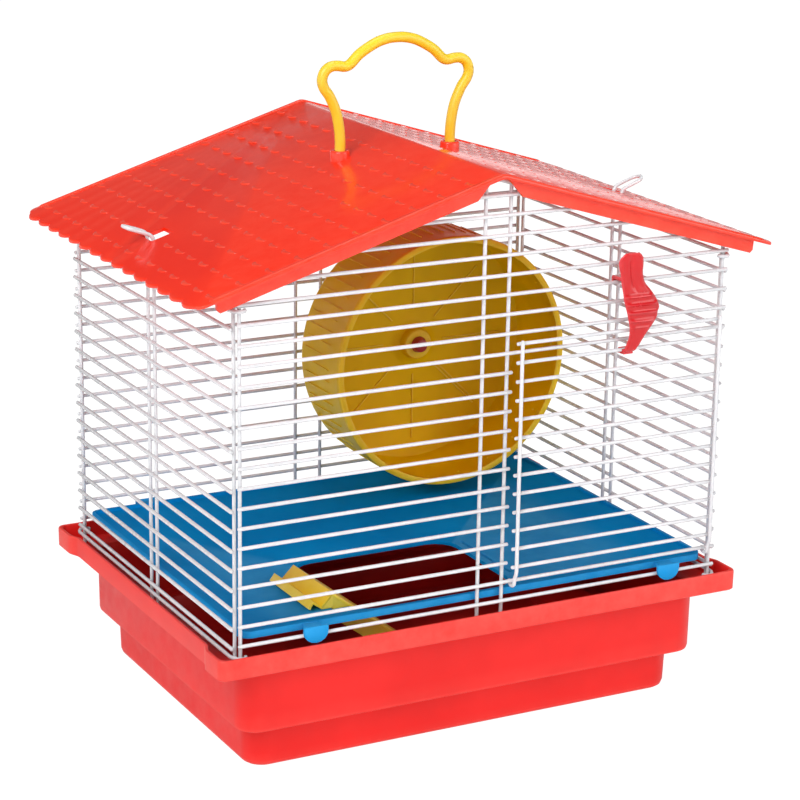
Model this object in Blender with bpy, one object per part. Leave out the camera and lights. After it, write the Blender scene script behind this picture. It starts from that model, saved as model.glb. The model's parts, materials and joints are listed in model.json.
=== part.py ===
"""Hamster cage: a wire house with a gabled plastic roof that stands in a stepped plastic tray.

Every sub-part is one closed solid in its own object. Lengths are in metres, +Z is up, the front
looks towards -Y, and the origin is on the floor under the middle of the tray.
"""
import math

import bmesh
import bpy
from mathutils import Matrix, Vector

OBJECT_NAME = "hamster_cage"

# ---------------------------------------------------------------------------------------------
# Driving dimensions
# ---------------------------------------------------------------------------------------------
GAP = 0.0003                 # clearance between pieces that touch

# Wire panels
WIRE_D = 0.0022              # coated wire
WIRE_SIDES = 6
BAR_PITCH = 0.010            # bar to bar
WALL_BARS = 18               # bars between the shelf and the eave
SIDE_BARS = 17
HOUSE_W = 0.271              # front panel, post to post
HOUSE_D = 0.211              # front bars to back bars
LAY = 0.0020                 # depth between two wires welded across each other
STUB = 0.0015                # bar end past the wire that it is welded to
MID_LEFT_X = -0.0045         # the front panel's two middle uprights
MID_RIGHT_X = 0.0095
HAIRPIN_W = 0.008            # middle pair of each side panel, centre to centre
SIDE_OUT = 0.0015            # side posts outside the front posts
SIDE_SET_BACK = 0.0032       # side posts behind the front posts
SIDE_DROP = 0.0022           # side bars below the front bars
RAIL_DROP = 0.0062           # bottom rail below the lowest wall bar
RAIL_RAISE = 0.0070          # top rail above the bar before the highest

# Tray
TRAY_WALL = 0.0020
FOOT_H = 0.0235              # lower, narrower part
BODY_H = 0.0352              # upper part, up to the flange
RIM_H = 0.0109
RIM_OUT_X = 0.0112           # posts to the rim's outer face
RIM_OUT_Y = 0.0055           # front bars to the rim's outer face
FLANGE_X = 0.0137            # rim's outer face to the upper part's wall
FLANGE_Y = 0.0100
STEP_X = 0.0080              # upper part's wall to the foot's wall
STEP_Y = 0.0100
FOOT_CORNER = 0.012
BODY_CORNER = 0.012
RIM_CORNER = 0.004
EAR_OUT = 0.0028             # corner ears that stand out of the rim
EAR_LEN = 0.020
BAR_ABOVE_RIM = 0.0039       # lowest bar over the rim

# Roof
ROOF_SLOPE = 0.302
ROOF_WALL = 0.0018           # measured straight down
ROOF_END_OUT = 0.0085        # sheet past the front and the back bars
EAVE_OUT = 0.0275            # sheet past the posts
RIDGE_OVER_BARS = 0.0517     # ridge above the highest wall bar
SCALLOPS = 15
SCALLOP_DEPTH = 0.0028
ROOF_CORNER = 0.0045
FASCIA_DROP = 0.0086
FASCIA_INNER_X = 0.008       # fascia starts beside the ridge
FASCIA_SET_BACK = 0.013      # eave to the fascia's end
FASCIA_CLEAR = 0.0027        # bars to the fascia

# Carrying handle
HANDLE_D = 0.0052
HANDLE_FOOT_X = 0.032
COLLAR_R = 0.0052
COLLAR_H = 0.0062

# Roof hooks
HOOK_OUT = 0.0145            # reach past the hairpin
HOOK_UP = 0.0082             # rise of its tip over the roof
HOOK_SWING_DEG = 45.0
HOOK_SLOT_CLEAR = 0.0006

# Shelf and ramp
SHELF_WALL = 0.0020
SHELF_RIM = 0.0015           # raised edge
SHELF_BASE = 0.0016          # underside of the plate over the lowest bar
SHELF_CLEAR = 0.0007         # shelf edge to the wires
SHELF_CORNER = 0.006
TAB_W = 0.013
TAB_LEFT_X = -0.097
TAB_RIGHT_X = 0.1076
HATCH_LEFT = -0.078
HATCH_W = 0.102
HATCH_D = 0.077
RAMP_SEAT = 0.009            # notch in the hatch's edge that the ramp hangs in
HATCH_FRONT_LAND = 0.006     # shelf strip between the hatch and the front edge
HATCH_CORNER = 0.012
RAMP_WALL = 0.0014
RAMP_W = 0.0455
RAMP_SIDE_GAP = 0.0024       # ramp to the tray's front wall
RAMP_DEG = 37.5
RAMP_PEAK = 0.0066           # fold over the shelf
RAMP_SKIRT = 0.009           # side walls under the slope

# Wheel
WHEEL_R = 0.071
WHEEL_X = 0.058
WHEEL_Z = 0.157
WHEEL_LEN = 0.051
WHEEL_TO_BARS = 0.0165       # wheel to the back panel's bars
WHEEL_WALL = 0.0018
HUB_R = 0.0085
HUB_LEN = 0.010
AXLE_R = 0.0030
AXLE_FIT = 0.0003
BRACKET_R = 0.017
BRACKET_T = 0.0030

# Door
DOOR_PITCH = 0.00975
DOOR_BARS = 13
DOOR_FIRST_BAR = 0.008       # first door bar over the hinge bar
DOOR_HINGE_K = 1             # wall bar that the door hangs on
DOOR_TOP_K = 13              # wall bar at the top of the opening
DOOR_STANDOFF = 0.0026       # door bars in front of the wall bars
DOOR_LEFT = 0.0144
DOOR_TO_POST = 0.0040        # door's right upright inside the corner post

# Latch
LATCH_K = 16                 # wall bar that the latch hangs on
LATCH_X = 0.0745
LATCH_T = 0.0020

# ---------------------------------------------------------------------------------------------
# Sizes that follow from them
# ---------------------------------------------------------------------------------------------
WIRE_R = WIRE_D / 2
HEX_R = WIRE_R / math.cos(math.pi / WIRE_SIDES)

POST_X = HOUSE_W / 2
BAR_Y = HOUSE_D / 2
POST_Y = BAR_Y - LAY
SIDE_POST_X = POST_X + SIDE_OUT
SIDE_BAR_X = SIDE_POST_X + LAY
SIDE_POST_Y = POST_Y - SIDE_SET_BACK

FLANGE_Z = FOOT_H + BODY_H
RIM_TOP = FLANGE_Z + RIM_H
RIM_X = POST_X + RIM_OUT_X
RIM_Y = BAR_Y + RIM_OUT_Y
BODY_X = RIM_X - FLANGE_X
BODY_Y = RIM_Y - FLANGE_Y
FOOT_X = BODY_X - STEP_X
FOOT_Y = BODY_Y - STEP_Y

BAR0_Z = RIM_TOP + BAR_ABOVE_RIM
WALL_TOP_Z = BAR0_Z + (WALL_BARS - 1) * BAR_PITCH
POST_BOTTOM_Z = FLANGE_Z + TRAY_WALL + GAP
RIDGE_Z = WALL_TOP_Z + RIDGE_OVER_BARS
APEX_Z = RIDGE_Z - ROOF_WALL - GAP - HEX_R * math.sqrt(1 + ROOF_SLOPE**2)
POST_TOP_Z = APEX_Z - POST_X * ROOF_SLOPE
BOTTOM_RAIL_Z = BAR0_Z - RAIL_DROP
TOP_RAIL_Z = WALL_TOP_Z - BAR_PITCH + RAIL_RAISE
RAIL_X = SIDE_POST_X + HEX_R + GAP + WIRE_R
CURL_R = HEX_R + GAP + WIRE_R
EAVE_X = POST_X + EAVE_OUT

SHELF_LOW = BAR0_Z + SHELF_BASE
SHELF_TOP = SHELF_LOW + SHELF_WALL + SHELF_RIM
SHELF_X = POST_X - HEX_R - SHELF_CLEAR + 0.0002
SHELF_Y = POST_Y - HEX_R - SHELF_CLEAR
HATCH_Y0 = -SHELF_Y + HATCH_FRONT_LAND
HATCH_RIGHT = HATCH_LEFT + HATCH_W
RAMP_Y0 = -FOOT_Y + TRAY_WALL + RAMP_SIDE_GAP
WHEEL_BACK = BAR_Y - WHEEL_TO_BARS
WHEEL_FRONT = WHEEL_BACK - WHEEL_LEN
DOOR_RIGHT = POST_X - DOOR_TO_POST
ROOF_Y = BAR_Y + ROOF_END_OUT
BRACKET_BACK = POST_Y - HEX_R - GAP

DOOR_Y = -BAR_Y - DOOR_STANDOFF
HINGE_Z = BAR0_Z + DOOR_HINGE_K * BAR_PITCH
LATCH_Z = BAR0_Z + LATCH_K * BAR_PITCH

# ---------------------------------------------------------------------------------------------
# Scene helpers
# ---------------------------------------------------------------------------------------------
COLOURS = {
    "wire_white": ((0.83, 0.84, 0.86, 1.0), 0.30, 0.0),
    "roof_red": ((0.90, 0.06, 0.03, 1.0), 0.38, 0.0),
    "tray_red": ((0.86, 0.05, 0.04, 1.0), 0.35, 0.0),
    "latch_red": ((0.60, 0.02, 0.03, 1.0), 0.32, 0.0),
    "axle_red": ((0.30, 0.01, 0.01, 1.0), 0.40, 0.0),
    "handle_yellow": ((0.88, 0.62, 0.02, 1.0), 0.35, 0.0),
    "wheel_yellow": ((0.70, 0.44, 0.02, 1.0), 0.40, 0.0),
    "shelf_blue": ((0.01, 0.22, 0.62, 1.0), 0.35, 0.0),
}


def clear_scene():
    """Remove every object that the file starts with."""
    for obj in list(bpy.data.objects):
        bpy.data.objects.remove(obj)


def new_collection(name):
    """Make a collection in the scene."""
    coll = bpy.data.collections.new(name)
    bpy.context.scene.collection.children.link(coll)
    return coll


def material(name):
    """Make the named finish once, then reuse it."""
    mat = bpy.data.materials.get(name)
    if mat is None:
        colour, rough, metal = COLOURS[name]
        mat = bpy.data.materials.new(name)
        mat.use_nodes = True
        shader = mat.node_tree.nodes["Principled BSDF"]
        shader.inputs["Base Color"].default_value = colour
        shader.inputs["Roughness"].default_value = rough
        shader.inputs["Metallic"].default_value = metal
        mat.diffuse_color = colour
    return mat


def mesh_from(bm, name):
    """Turn a bmesh into a mesh with its faces pointing out."""
    bmesh.ops.recalc_face_normals(bm, faces=bm.faces)
    mesh = bpy.data.meshes.new(name)
    bm.to_mesh(mesh)
    bm.free()
    return mesh


def part(name, mesh, finish, origin=(0, 0, 0)):
    """Put a sub-part in the scene, with its own origin and finish."""
    mesh.transform(Matrix.Translation(-Vector(origin)))
    obj = bpy.data.objects.new(name, mesh)
    obj.location = origin
    mesh.materials.clear()
    mesh.materials.append(material(finish))
    PARTS.objects.link(obj)
    return obj


def tool(name, mesh):
    """Put a shape that cuts or joins in the cutters' collection."""
    obj = bpy.data.objects.new(name, mesh)
    obj.hide_render = True
    obj.display_type = "WIRE"
    CUTTERS.objects.link(obj)
    return obj


def apply_tool(obj, mesh, operation):
    """Cut obj by a closed mesh (DIFFERENCE), or join it on (UNION)."""
    index = len(obj.modifiers)
    mod = obj.modifiers.new(f"{operation.lower()}_{index}", "BOOLEAN")
    mod.operation = operation
    mod.object = tool(f"{obj.name}_tool_{index}", mesh)


def cut(obj, mesh):
    """Cut obj by a closed mesh."""
    apply_tool(obj, mesh, "DIFFERENCE")


def join(obj, mesh):
    """Join a closed mesh onto obj."""
    apply_tool(obj, mesh, "UNION")


# ---------------------------------------------------------------------------------------------
# Shape helpers
# ---------------------------------------------------------------------------------------------
def add_rod(bm, start, end, radius=HEX_R, sides=WIRE_SIDES):
    """Add a straight round wire to a bmesh."""
    start, end = Vector(start), Vector(end)
    along = end - start
    place = Matrix.Translation((start + end) / 2) @ along.to_track_quat("Z", "Y").to_matrix().to_4x4()
    bmesh.ops.create_cone(bm, cap_ends=True, segments=sides, radius1=radius, radius2=radius,
                          depth=along.length, matrix=place)


def rod(name, start, end, radius=HEX_R, sides=WIRE_SIDES):
    """A straight round wire as a mesh of its own."""
    bm = bmesh.new()
    add_rod(bm, start, end, radius, sides)
    return mesh_from(bm, name)


def bent_wire(name, points, radius=WIRE_R, resolution=2):
    """A round wire that follows points, as a mesh with its caps welded."""
    curve = bpy.data.curves.new(name, "CURVE")
    curve.dimensions = "3D"
    curve.bevel_depth = radius
    curve.bevel_resolution = resolution
    curve.use_fill_caps = True
    spline = curve.splines.new("POLY")
    spline.points.add(len(points) - 1)
    for point, place in zip(spline.points, points):
        point.co = (*place, 1.0)
    obj = bpy.data.objects.new(name, curve)
    bpy.context.scene.collection.objects.link(obj)
    depsgraph = bpy.context.evaluated_depsgraph_get()
    mesh = bpy.data.meshes.new_from_object(obj.evaluated_get(depsgraph))
    bpy.data.objects.remove(obj)
    bm = bmesh.new()
    bm.from_mesh(mesh)
    bmesh.ops.remove_doubles(bm, verts=bm.verts, dist=1e-6)
    return mesh_from(bm, name)


def arc(centre, radius, start_deg, end_deg, steps):
    """Points on an arc in a plane, as pairs."""
    turns = [math.radians(start_deg + (end_deg - start_deg) * i / steps) for i in range(steps + 1)]
    return [(centre[0] + radius * math.cos(t), centre[1] + radius * math.sin(t)) for t in turns]


def rounded_rectangle(half_x, half_y, radius, steps=4, centre=(0, 0)):
    """Outline of a rectangle with round corners, anticlockwise."""
    outline = []
    for sign_x, sign_y, start in ((1, 1, 0), (-1, 1, 90), (-1, -1, 180), (1, -1, 270)):
        corner = (centre[0] + sign_x * (half_x - radius), centre[1] + sign_y * (half_y - radius))
        outline += arc(corner, radius, start, start + 90, steps)
    return outline


def prism(name, outline, low, high, place=Matrix.Identity(4)):
    """A flat outline pulled from height low to height high, then moved by place."""
    bm = bmesh.new()
    face = bm.faces.new([bm.verts.new((x, y, low)) for x, y in outline])
    pulled = bmesh.ops.extrude_face_region(bm, geom=[face])
    lifted = [v for v in pulled["geom"] if isinstance(v, bmesh.types.BMVert)]
    bmesh.ops.translate(bm, verts=lifted, vec=(0, 0, high - low))
    bmesh.ops.transform(bm, matrix=place, verts=bm.verts)
    return mesh_from(bm, name)


def box(name, low, high, place=Matrix.Identity(4)):
    """A box between two corners."""
    low, high = Vector(low), Vector(high)
    bm = bmesh.new()
    size = Matrix.Diagonal((*(high - low), 1.0))
    bmesh.ops.create_cube(bm, size=1.0, matrix=place @ Matrix.Translation((low + high) / 2) @ size)
    return mesh_from(bm, name)


# A profile in the X-Z plane that is pulled along Y, and one in the Y-Z plane pulled along X.
XZ_PLANE = Matrix(((1, 0, 0, 0), (0, 0, 1, 0), (0, 1, 0, 0), (0, 0, 0, 1)))
YZ_PLANE = Matrix(((0, 0, 1, 0), (1, 0, 0, 0), (0, 1, 0, 0), (0, 0, 0, 1)))


def cylinder_y(name, centre, radius, y0, y1, sides=24):
    """A round bar along Y."""
    return rod(name, (centre[0], y0, centre[1]), (centre[0], y1, centre[1]), radius, sides)


# ---------------------------------------------------------------------------------------------
# Tray
# ---------------------------------------------------------------------------------------------
def rim_outline(inset):
    """Outline of the rim, with an ear at each corner."""
    out_x, side_x, y = RIM_X + EAR_OUT - inset, RIM_X - inset, RIM_Y - inset
    ear_y = RIM_Y - EAR_LEN
    quarter = [(side_x, ear_y - EAR_OUT), (out_x, ear_y)]
    quarter += arc((out_x - RIM_CORNER, y - RIM_CORNER), RIM_CORNER, 0, 90, 3)
    outline = []
    for sign_x, sign_y in ((1, 1), (-1, 1), (-1, -1), (1, -1)):
        corner = [(sign_x * px, sign_y * py) for px, py in quarter]
        outline += corner if sign_x * sign_y > 0 else corner[::-1]
    return outline


def build_tray():
    """Stepped tray whose rim holds the wire house in a channel."""
    hidden = 0.002
    tray = part("base_tray", prism("foot", rounded_rectangle(FOOT_X, FOOT_Y, FOOT_CORNER), 0,
                                   FOOT_H + hidden), "tray_red")
    join(tray, prism("body", rounded_rectangle(BODY_X, BODY_Y, BODY_CORNER), FOOT_H,
                     FLANGE_Z + hidden))
    join(tray, prism("rim", rim_outline(0), FLANGE_Z, RIM_TOP))
    wall = TRAY_WALL
    cut(tray, prism("rim_hollow", rim_outline(wall), FLANGE_Z + wall, RIM_TOP + wall))
    cut(tray, prism("body_hollow", rounded_rectangle(BODY_X - wall, BODY_Y - wall, BODY_CORNER - wall),
                    FOOT_H + wall, RIM_TOP + wall))
    cut(tray, prism("foot_hollow", rounded_rectangle(FOOT_X - wall, FOOT_Y - wall, FOOT_CORNER - wall),
                    wall, RIM_TOP + wall))


# ---------------------------------------------------------------------------------------------
# Wire panels
# ---------------------------------------------------------------------------------------------
def bar_z(index):
    """Height of a bar of the front and back panels."""
    return BAR0_Z + index * BAR_PITCH


def gable_half(height):
    """Half-length of a bar at this height, as far as the post or the gable wire."""
    if height < POST_TOP_Z:
        return POST_X + STUB
    return (APEX_Z - height) / ROOF_SLOPE + STUB * 0.2


def end_panel(name, side, uprights, door_from=None):
    """Front (side -1) or back (side +1) panel: bars, a gabled frame wire and two uprights."""
    y_bar, y_post = side * BAR_Y, side * POST_Y
    count = WALL_BARS + int((APEX_Z - WALL_TOP_Z) / BAR_PITCH)
    bm = bmesh.new()
    for index in range(count):
        height = bar_z(index)
        half = gable_half(height)
        right = half
        if door_from is not None and DOOR_HINGE_K < index < DOOR_TOP_K:
            right = door_from + STUB
        add_rod(bm, (-half, y_bar, height), (right, y_bar, height))
    panel = part(name, mesh_from(bm, name), "wire_white")
    frame = [(-POST_X, POST_BOTTOM_Z), (-POST_X, POST_TOP_Z), (0, APEX_Z), (POST_X, POST_TOP_Z),
             (POST_X, POST_BOTTOM_Z)]
    join(panel, bent_wire("frame", [(x, y_post, z) for x, z in frame], HEX_R, 1))
    for x in uprights:
        top = APEX_Z - abs(x) * ROOF_SLOPE
        join(panel, rod("upright", (x, y_post, POST_BOTTOM_Z), (x, y_post, top)))


def side_panel(name, side):
    """Left (side -1) or right (side +1) panel: bars, two posts and a middle pair."""
    x_bar, x_post = side * SIDE_BAR_X, side * SIDE_POST_X
    high = WALL_TOP_Z - BAR_PITCH * 0.1
    half = SIDE_POST_Y + STUB
    bm = bmesh.new()
    for index in range(SIDE_BARS):
        height = bar_z(index) - SIDE_DROP
        add_rod(bm, (x_bar, -half, height), (x_bar, half, height))
    panel = part(name, mesh_from(bm, name), "wire_white")
    for y in (-SIDE_POST_Y, SIDE_POST_Y):
        join(panel, rod("post", (x_post, y, POST_BOTTOM_Z), (x_post, y, high)))
    for y in (-HAIRPIN_W / 2, HAIRPIN_W / 2):
        join(panel, rod("pair", (x_post, y, POST_BOTTOM_Z), (x_post, y, high + WIRE_D)))


def rail(name, side, height):
    """Rail along a side panel, whose ends curl round the front and back posts."""
    curl = arc((POST_X, POST_Y), CURL_R, 10, 170, 7)
    lead = [(RAIL_X, POST_Y - 0.0060), (RAIL_X, POST_Y - 0.0024), (RAIL_X - 0.0004, POST_Y - 0.0013)]
    ends = lead + curl
    front = [(side * x, -y, height) for x, y in ends[::-1]]
    back = [(side * x, y, height) for x, y in ends]
    part(name, bent_wire(name, front + back), "wire_white")


def build_rails():
    """Four rails, two on each side."""
    for side, word in ((-1, "left"), (1, "right")):
        rail(f"{word}_bottom_rail", side, BOTTOM_RAIL_Z)
        rail(f"{word}_top_rail", side, TOP_RAIL_Z)


def hook_pivot(side):
    """Where a roof hook bends, at the top of a side panel's middle pair."""
    return Vector((side * SIDE_POST_X, 0, WALL_TOP_Z + BAR_PITCH * 0.3))


def build_roof_hook(name, side):
    """Springy hairpin that carries on from a side panel's middle pair, through the roof and out."""
    pivot = hook_pivot(side)
    sheet = RIDGE_Z - SIDE_POST_X * ROOF_SLOPE
    tip = (HOOK_OUT - HAIRPIN_W / 2, sheet + HOOK_UP - HAIRPIN_W / 2 * 0.6)
    leg = [(0, pivot.z), (0, sheet + 0.0006), (0.0010, sheet + 0.0022), (0.0030, sheet + 0.0034)]
    lean = Vector((tip[0] - leg[-1][0], tip[1] - leg[-1][1])).normalized()
    turn = []
    for reach, y in arc((0, 0), HAIRPIN_W / 2, -90, 90, 6):
        turn.append((tip[0] + lean.x * reach, y, tip[1] + lean.y * reach))
    route = [(out, -HAIRPIN_W / 2, z) for out, z in leg] + turn
    route += [(out, HAIRPIN_W / 2, z) for out, z in leg[::-1]]
    points = [(pivot.x + side * out, y, z) for out, y, z in route]
    part(name, bent_wire(name, points), "wire_white", pivot)


# ---------------------------------------------------------------------------------------------
# Door and latch
# ---------------------------------------------------------------------------------------------
def build_door():
    """Wire door outside the front panel, hooked round a low bar so that it drops open."""
    hinge = Vector((0, -BAR_Y, HINGE_Z))
    bottom = HINGE_Z + DOOR_FIRST_BAR
    top = bottom + (DOOR_BARS - 1) * DOOR_PITCH
    bm = bmesh.new()
    for index in range(DOOR_BARS):
        height = bottom + index * DOOR_PITCH
        add_rod(bm, (DOOR_LEFT - STUB, DOOR_Y, height), (DOOR_RIGHT + STUB, DOOR_Y, height))
    door = part("door", mesh_from(bm, "door"), "wire_white", hinge)
    outer = DOOR_Y - LAY
    curl = arc((-BAR_Y, HINGE_Z), CURL_R, 180, 350, 7)
    for x in (DOOR_LEFT, DOOR_RIGHT):
        route = [(x, outer, top + STUB), (x, outer, bottom - 0.0015), (x, outer + 0.0008, bottom - 0.0045)]
        route += [(x, y, z) for y, z in curl]
        join(door, bent_wire("upright", route))


def offset_strip(centre_line, thickness):
    """Closed outline of a strip of even thickness along a centre line."""
    left, right = [], []
    count = len(centre_line)
    for index, (a, b) in enumerate(centre_line):
        before = centre_line[max(index - 1, 0)]
        after = centre_line[min(index + 1, count - 1)]
        along = Vector((after[0] - before[0], after[1] - before[1])).normalized()
        left.append((a - along.y * thickness / 2, b + along.x * thickness / 2))
        right.append((a + along.y * thickness / 2, b - along.x * thickness / 2))
    return left + right[::-1]


def build_latch():
    """Moulded latch: hangs on a wall bar, and its foot curls in under a bar of the door."""
    pivot = Vector((LATCH_X, -BAR_Y, LATCH_Z))
    caught = HINGE_Z + DOOR_FIRST_BAR + (DOOR_BARS - 2) * DOOR_PITCH
    reach = BAR_Y + 0.0065
    foot = caught - HEX_R - 0.0008 - LATCH_T / 2
    front = [
        (-reach + 0.0004, LATCH_Z + 0.0165), (-reach, LATCH_Z + 0.0100), (-reach + 0.0014, LATCH_Z + 0.0010),
        (-reach - 0.0002, LATCH_Z - 0.0060), (-reach - 0.0008, LATCH_Z - 0.0110),
        (-reach - 0.0006, LATCH_Z - 0.0180), (-reach + 0.0006, LATCH_Z - 0.0250),
        (-reach + 0.0008, foot + 0.0022), (-reach + 0.0022, foot), (DOOR_Y + 0.0020, foot),
    ]
    prism_side = prism("latch", offset_strip(front, LATCH_T), LATCH_X - 0.012, LATCH_X + 0.019, YZ_PLANE)
    latch = part("door_latch", prism_side, "latch_red")
    centre = LATCH_X
    outline = [(centre - 0.0055, foot - 0.004), (centre + 0.0035, foot - 0.004), (centre + 0.0045, foot + 0.010),
               (centre + 0.0165, LATCH_Z - 0.0185), (centre + 0.0175, LATCH_Z - 0.0130),
               (centre + 0.0150, LATCH_Z - 0.0065), (centre + 0.0055, LATCH_Z - 0.0020),
               (centre + 0.0060, LATCH_Z + 0.0080), (centre + 0.0075, LATCH_Z + 0.0160),
               (centre + 0.0060, LATCH_Z + 0.0185), (centre - 0.0070, LATCH_Z + 0.0185),
               (centre - 0.0085, LATCH_Z + 0.0160), (centre - 0.0080, LATCH_Z + 0.0020),
               (centre - 0.0050, LATCH_Z - 0.0060), (centre - 0.0045, LATCH_Z - 0.0180),
               (centre - 0.0055, LATCH_Z - 0.0260)]
    apply_tool(latch, prism("outline", outline, -0.130, -0.090, XZ_PLANE), "INTERSECT")
    over = LATCH_Z + HEX_R + GAP
    inner = -BAR_Y + HEX_R + GAP
    web = -reach + 0.0012
    claw = [(web, over), (inner, over), (inner, LATCH_Z - 0.0010), (inner + 0.0014, LATCH_Z - 0.0010),
            (inner + 0.0014, over + 0.0016), (web, over + 0.0016)]
    join(latch, prism("claw", claw, LATCH_X - 0.0050, LATCH_X + 0.0030, YZ_PLANE))
    set_origin(latch, pivot)


def set_origin(obj, origin):
    """Move an object's origin without moving its shape."""
    shift = Vector(origin) - obj.location
    obj.data.transform(Matrix.Translation(-shift))
    obj.location = origin


# ---------------------------------------------------------------------------------------------
# Roof and handle
# ---------------------------------------------------------------------------------------------
def roof_z(x):
    """Height of the roof's upper face."""
    return RIDGE_Z - abs(x) * ROOF_SLOPE


def eave_outline():
    """Roof seen from above: scalloped eaves with round corners, anticlockwise from the front right."""
    half, base = ROOF_Y, EAVE_X - SCALLOP_DEPTH
    run = 2 * (ROOF_Y - ROOF_CORNER)
    edge = arc((base - ROOF_CORNER, -half + ROOF_CORNER), ROOF_CORNER, -90, 0, 4)
    for index in range(SCALLOPS):
        for step in range(1, 5):
            bulge = math.sin(math.pi * step / 4) * SCALLOP_DEPTH
            edge.append((base + bulge, -half + ROOF_CORNER + (index + step / 4) * run / SCALLOPS))
    edge += arc((base - ROOF_CORNER, half - ROOF_CORNER), ROOF_CORNER, 0, 90, 4)[1:]
    return edge + [(-x, y) for x, y in edge[::-1]]


def folded(mesh):
    """Fold a flat plate at its middle, so that both halves slope down from the ridge."""
    bm = bmesh.new()
    bm.from_mesh(mesh)
    bmesh.ops.bisect_plane(bm, geom=[*bm.verts, *bm.edges, *bm.faces], plane_co=(0, 0, 0),
                           plane_no=(1, 0, 0))
    for vert in bm.verts:
        vert.co.z -= abs(vert.co.x) * ROOF_SLOPE
    return mesh_from(bm, mesh.name)


def build_roof():
    """Gabled sheet with scalloped eaves and a fascia under each gable edge."""
    flat = prism("roof", eave_outline(), RIDGE_Z - ROOF_WALL, RIDGE_Z)
    roof = part("roof", folded(flat), "roof_red")
    inner_y = BAR_Y + FASCIA_CLEAR
    sink = ROOF_WALL / 2
    for side in (-1, 1):
        for end in (-1, 1):
            near, far = FASCIA_INNER_X, EAVE_X - FASCIA_SET_BACK
            outline = [(side * near, roof_z(near) - sink), (side * far, roof_z(far) - sink),
                       (side * far, roof_z(far) - FASCIA_DROP),
                       (side * (near + 0.002), roof_z(near) - FASCIA_DROP)]
            low, high = sorted((end * inner_y, end * (inner_y + ROOF_WALL)))
            join(roof, prism("fascia", outline, low, high, XZ_PLANE))
        pivot = hook_pivot(side)
        outer = SIDE_POST_X + WIRE_R + HOOK_SLOT_CLEAR
        rise = roof_z(SIDE_POST_X) - pivot.z
        inner = SIDE_POST_X - rise * math.tan(math.radians(HOOK_SWING_DEG)) - WIRE_R * 1.5 - HOOK_SLOT_CLEAR
        x0, x1 = sorted((side * outer, side * inner))
        y = HAIRPIN_W / 2 + WIRE_R + HOOK_SLOT_CLEAR
        cut(roof, box("hook_slot", (x0, -y, roof_z(outer) - 0.006), (x1, y, roof_z(inner) + 0.004)))


def collar(name, side):
    """Collar that holds one foot of the handle on the roof."""
    x, y = side * HANDLE_FOOT_X, 0
    base = roof_z(HANDLE_FOOT_X)
    low = base - COLLAR_R * ROOF_SLOPE * 1.6
    obj = part(name, rod(name, (x, y, low), (x, y, base + COLLAR_H), COLLAR_R, 20), "roof_red")
    slope = [(-0.02, -0.02), (0.02, -0.02), (0.02, 0.02 * -side * ROOF_SLOPE + 0.0), (-0.02, 0.02 * side * ROOF_SLOPE)]
    under = [(x + px, base + pz + (GAP * 1.2 if pz > -0.02 else 0)) for px, pz in slope]
    cut(obj, prism("roof_face", under, -0.02, 0.02, XZ_PLANE))
    cut(obj, rod("bore", (x, y, base + 0.0032), (x, y, base + COLLAR_H * 2), HANDLE_D / 2 + GAP * 1.5, 16))


def build_handle():
    """Bent rod handle over the ridge, with one foot in each collar."""
    base = roof_z(HANDLE_FOOT_X) + 0.0032 + GAP - RIDGE_Z
    foot = HANDLE_FOOT_X
    half = [(foot, base), (foot, base + 0.004), (foot + 0.0008, 0.0060), (foot + 0.0026, 0.0150),
            (foot + 0.0062, 0.0228), (foot + 0.0092, 0.0268), (foot + 0.0104, 0.0310), (foot + 0.0092, 0.0352),
            (foot + 0.0056, 0.0378), (foot + 0.0012, 0.0380), (foot - 0.0026, 0.0372), (foot - 0.0058, 0.0384),
            (foot - 0.0100, 0.0424), (foot - 0.0150, 0.0456), (foot - 0.0210, 0.0484), (foot - 0.0270, 0.0500),
            (0, 0.0505)]
    route = [(-x, 0, RIDGE_Z + z) for x, z in half]
    route += [(x, 0, RIDGE_Z + z) for x, z in half[-2::-1]]
    part("handle", bent_wire("handle", route, HANDLE_D / 2, 3), "handle_yellow")


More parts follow.
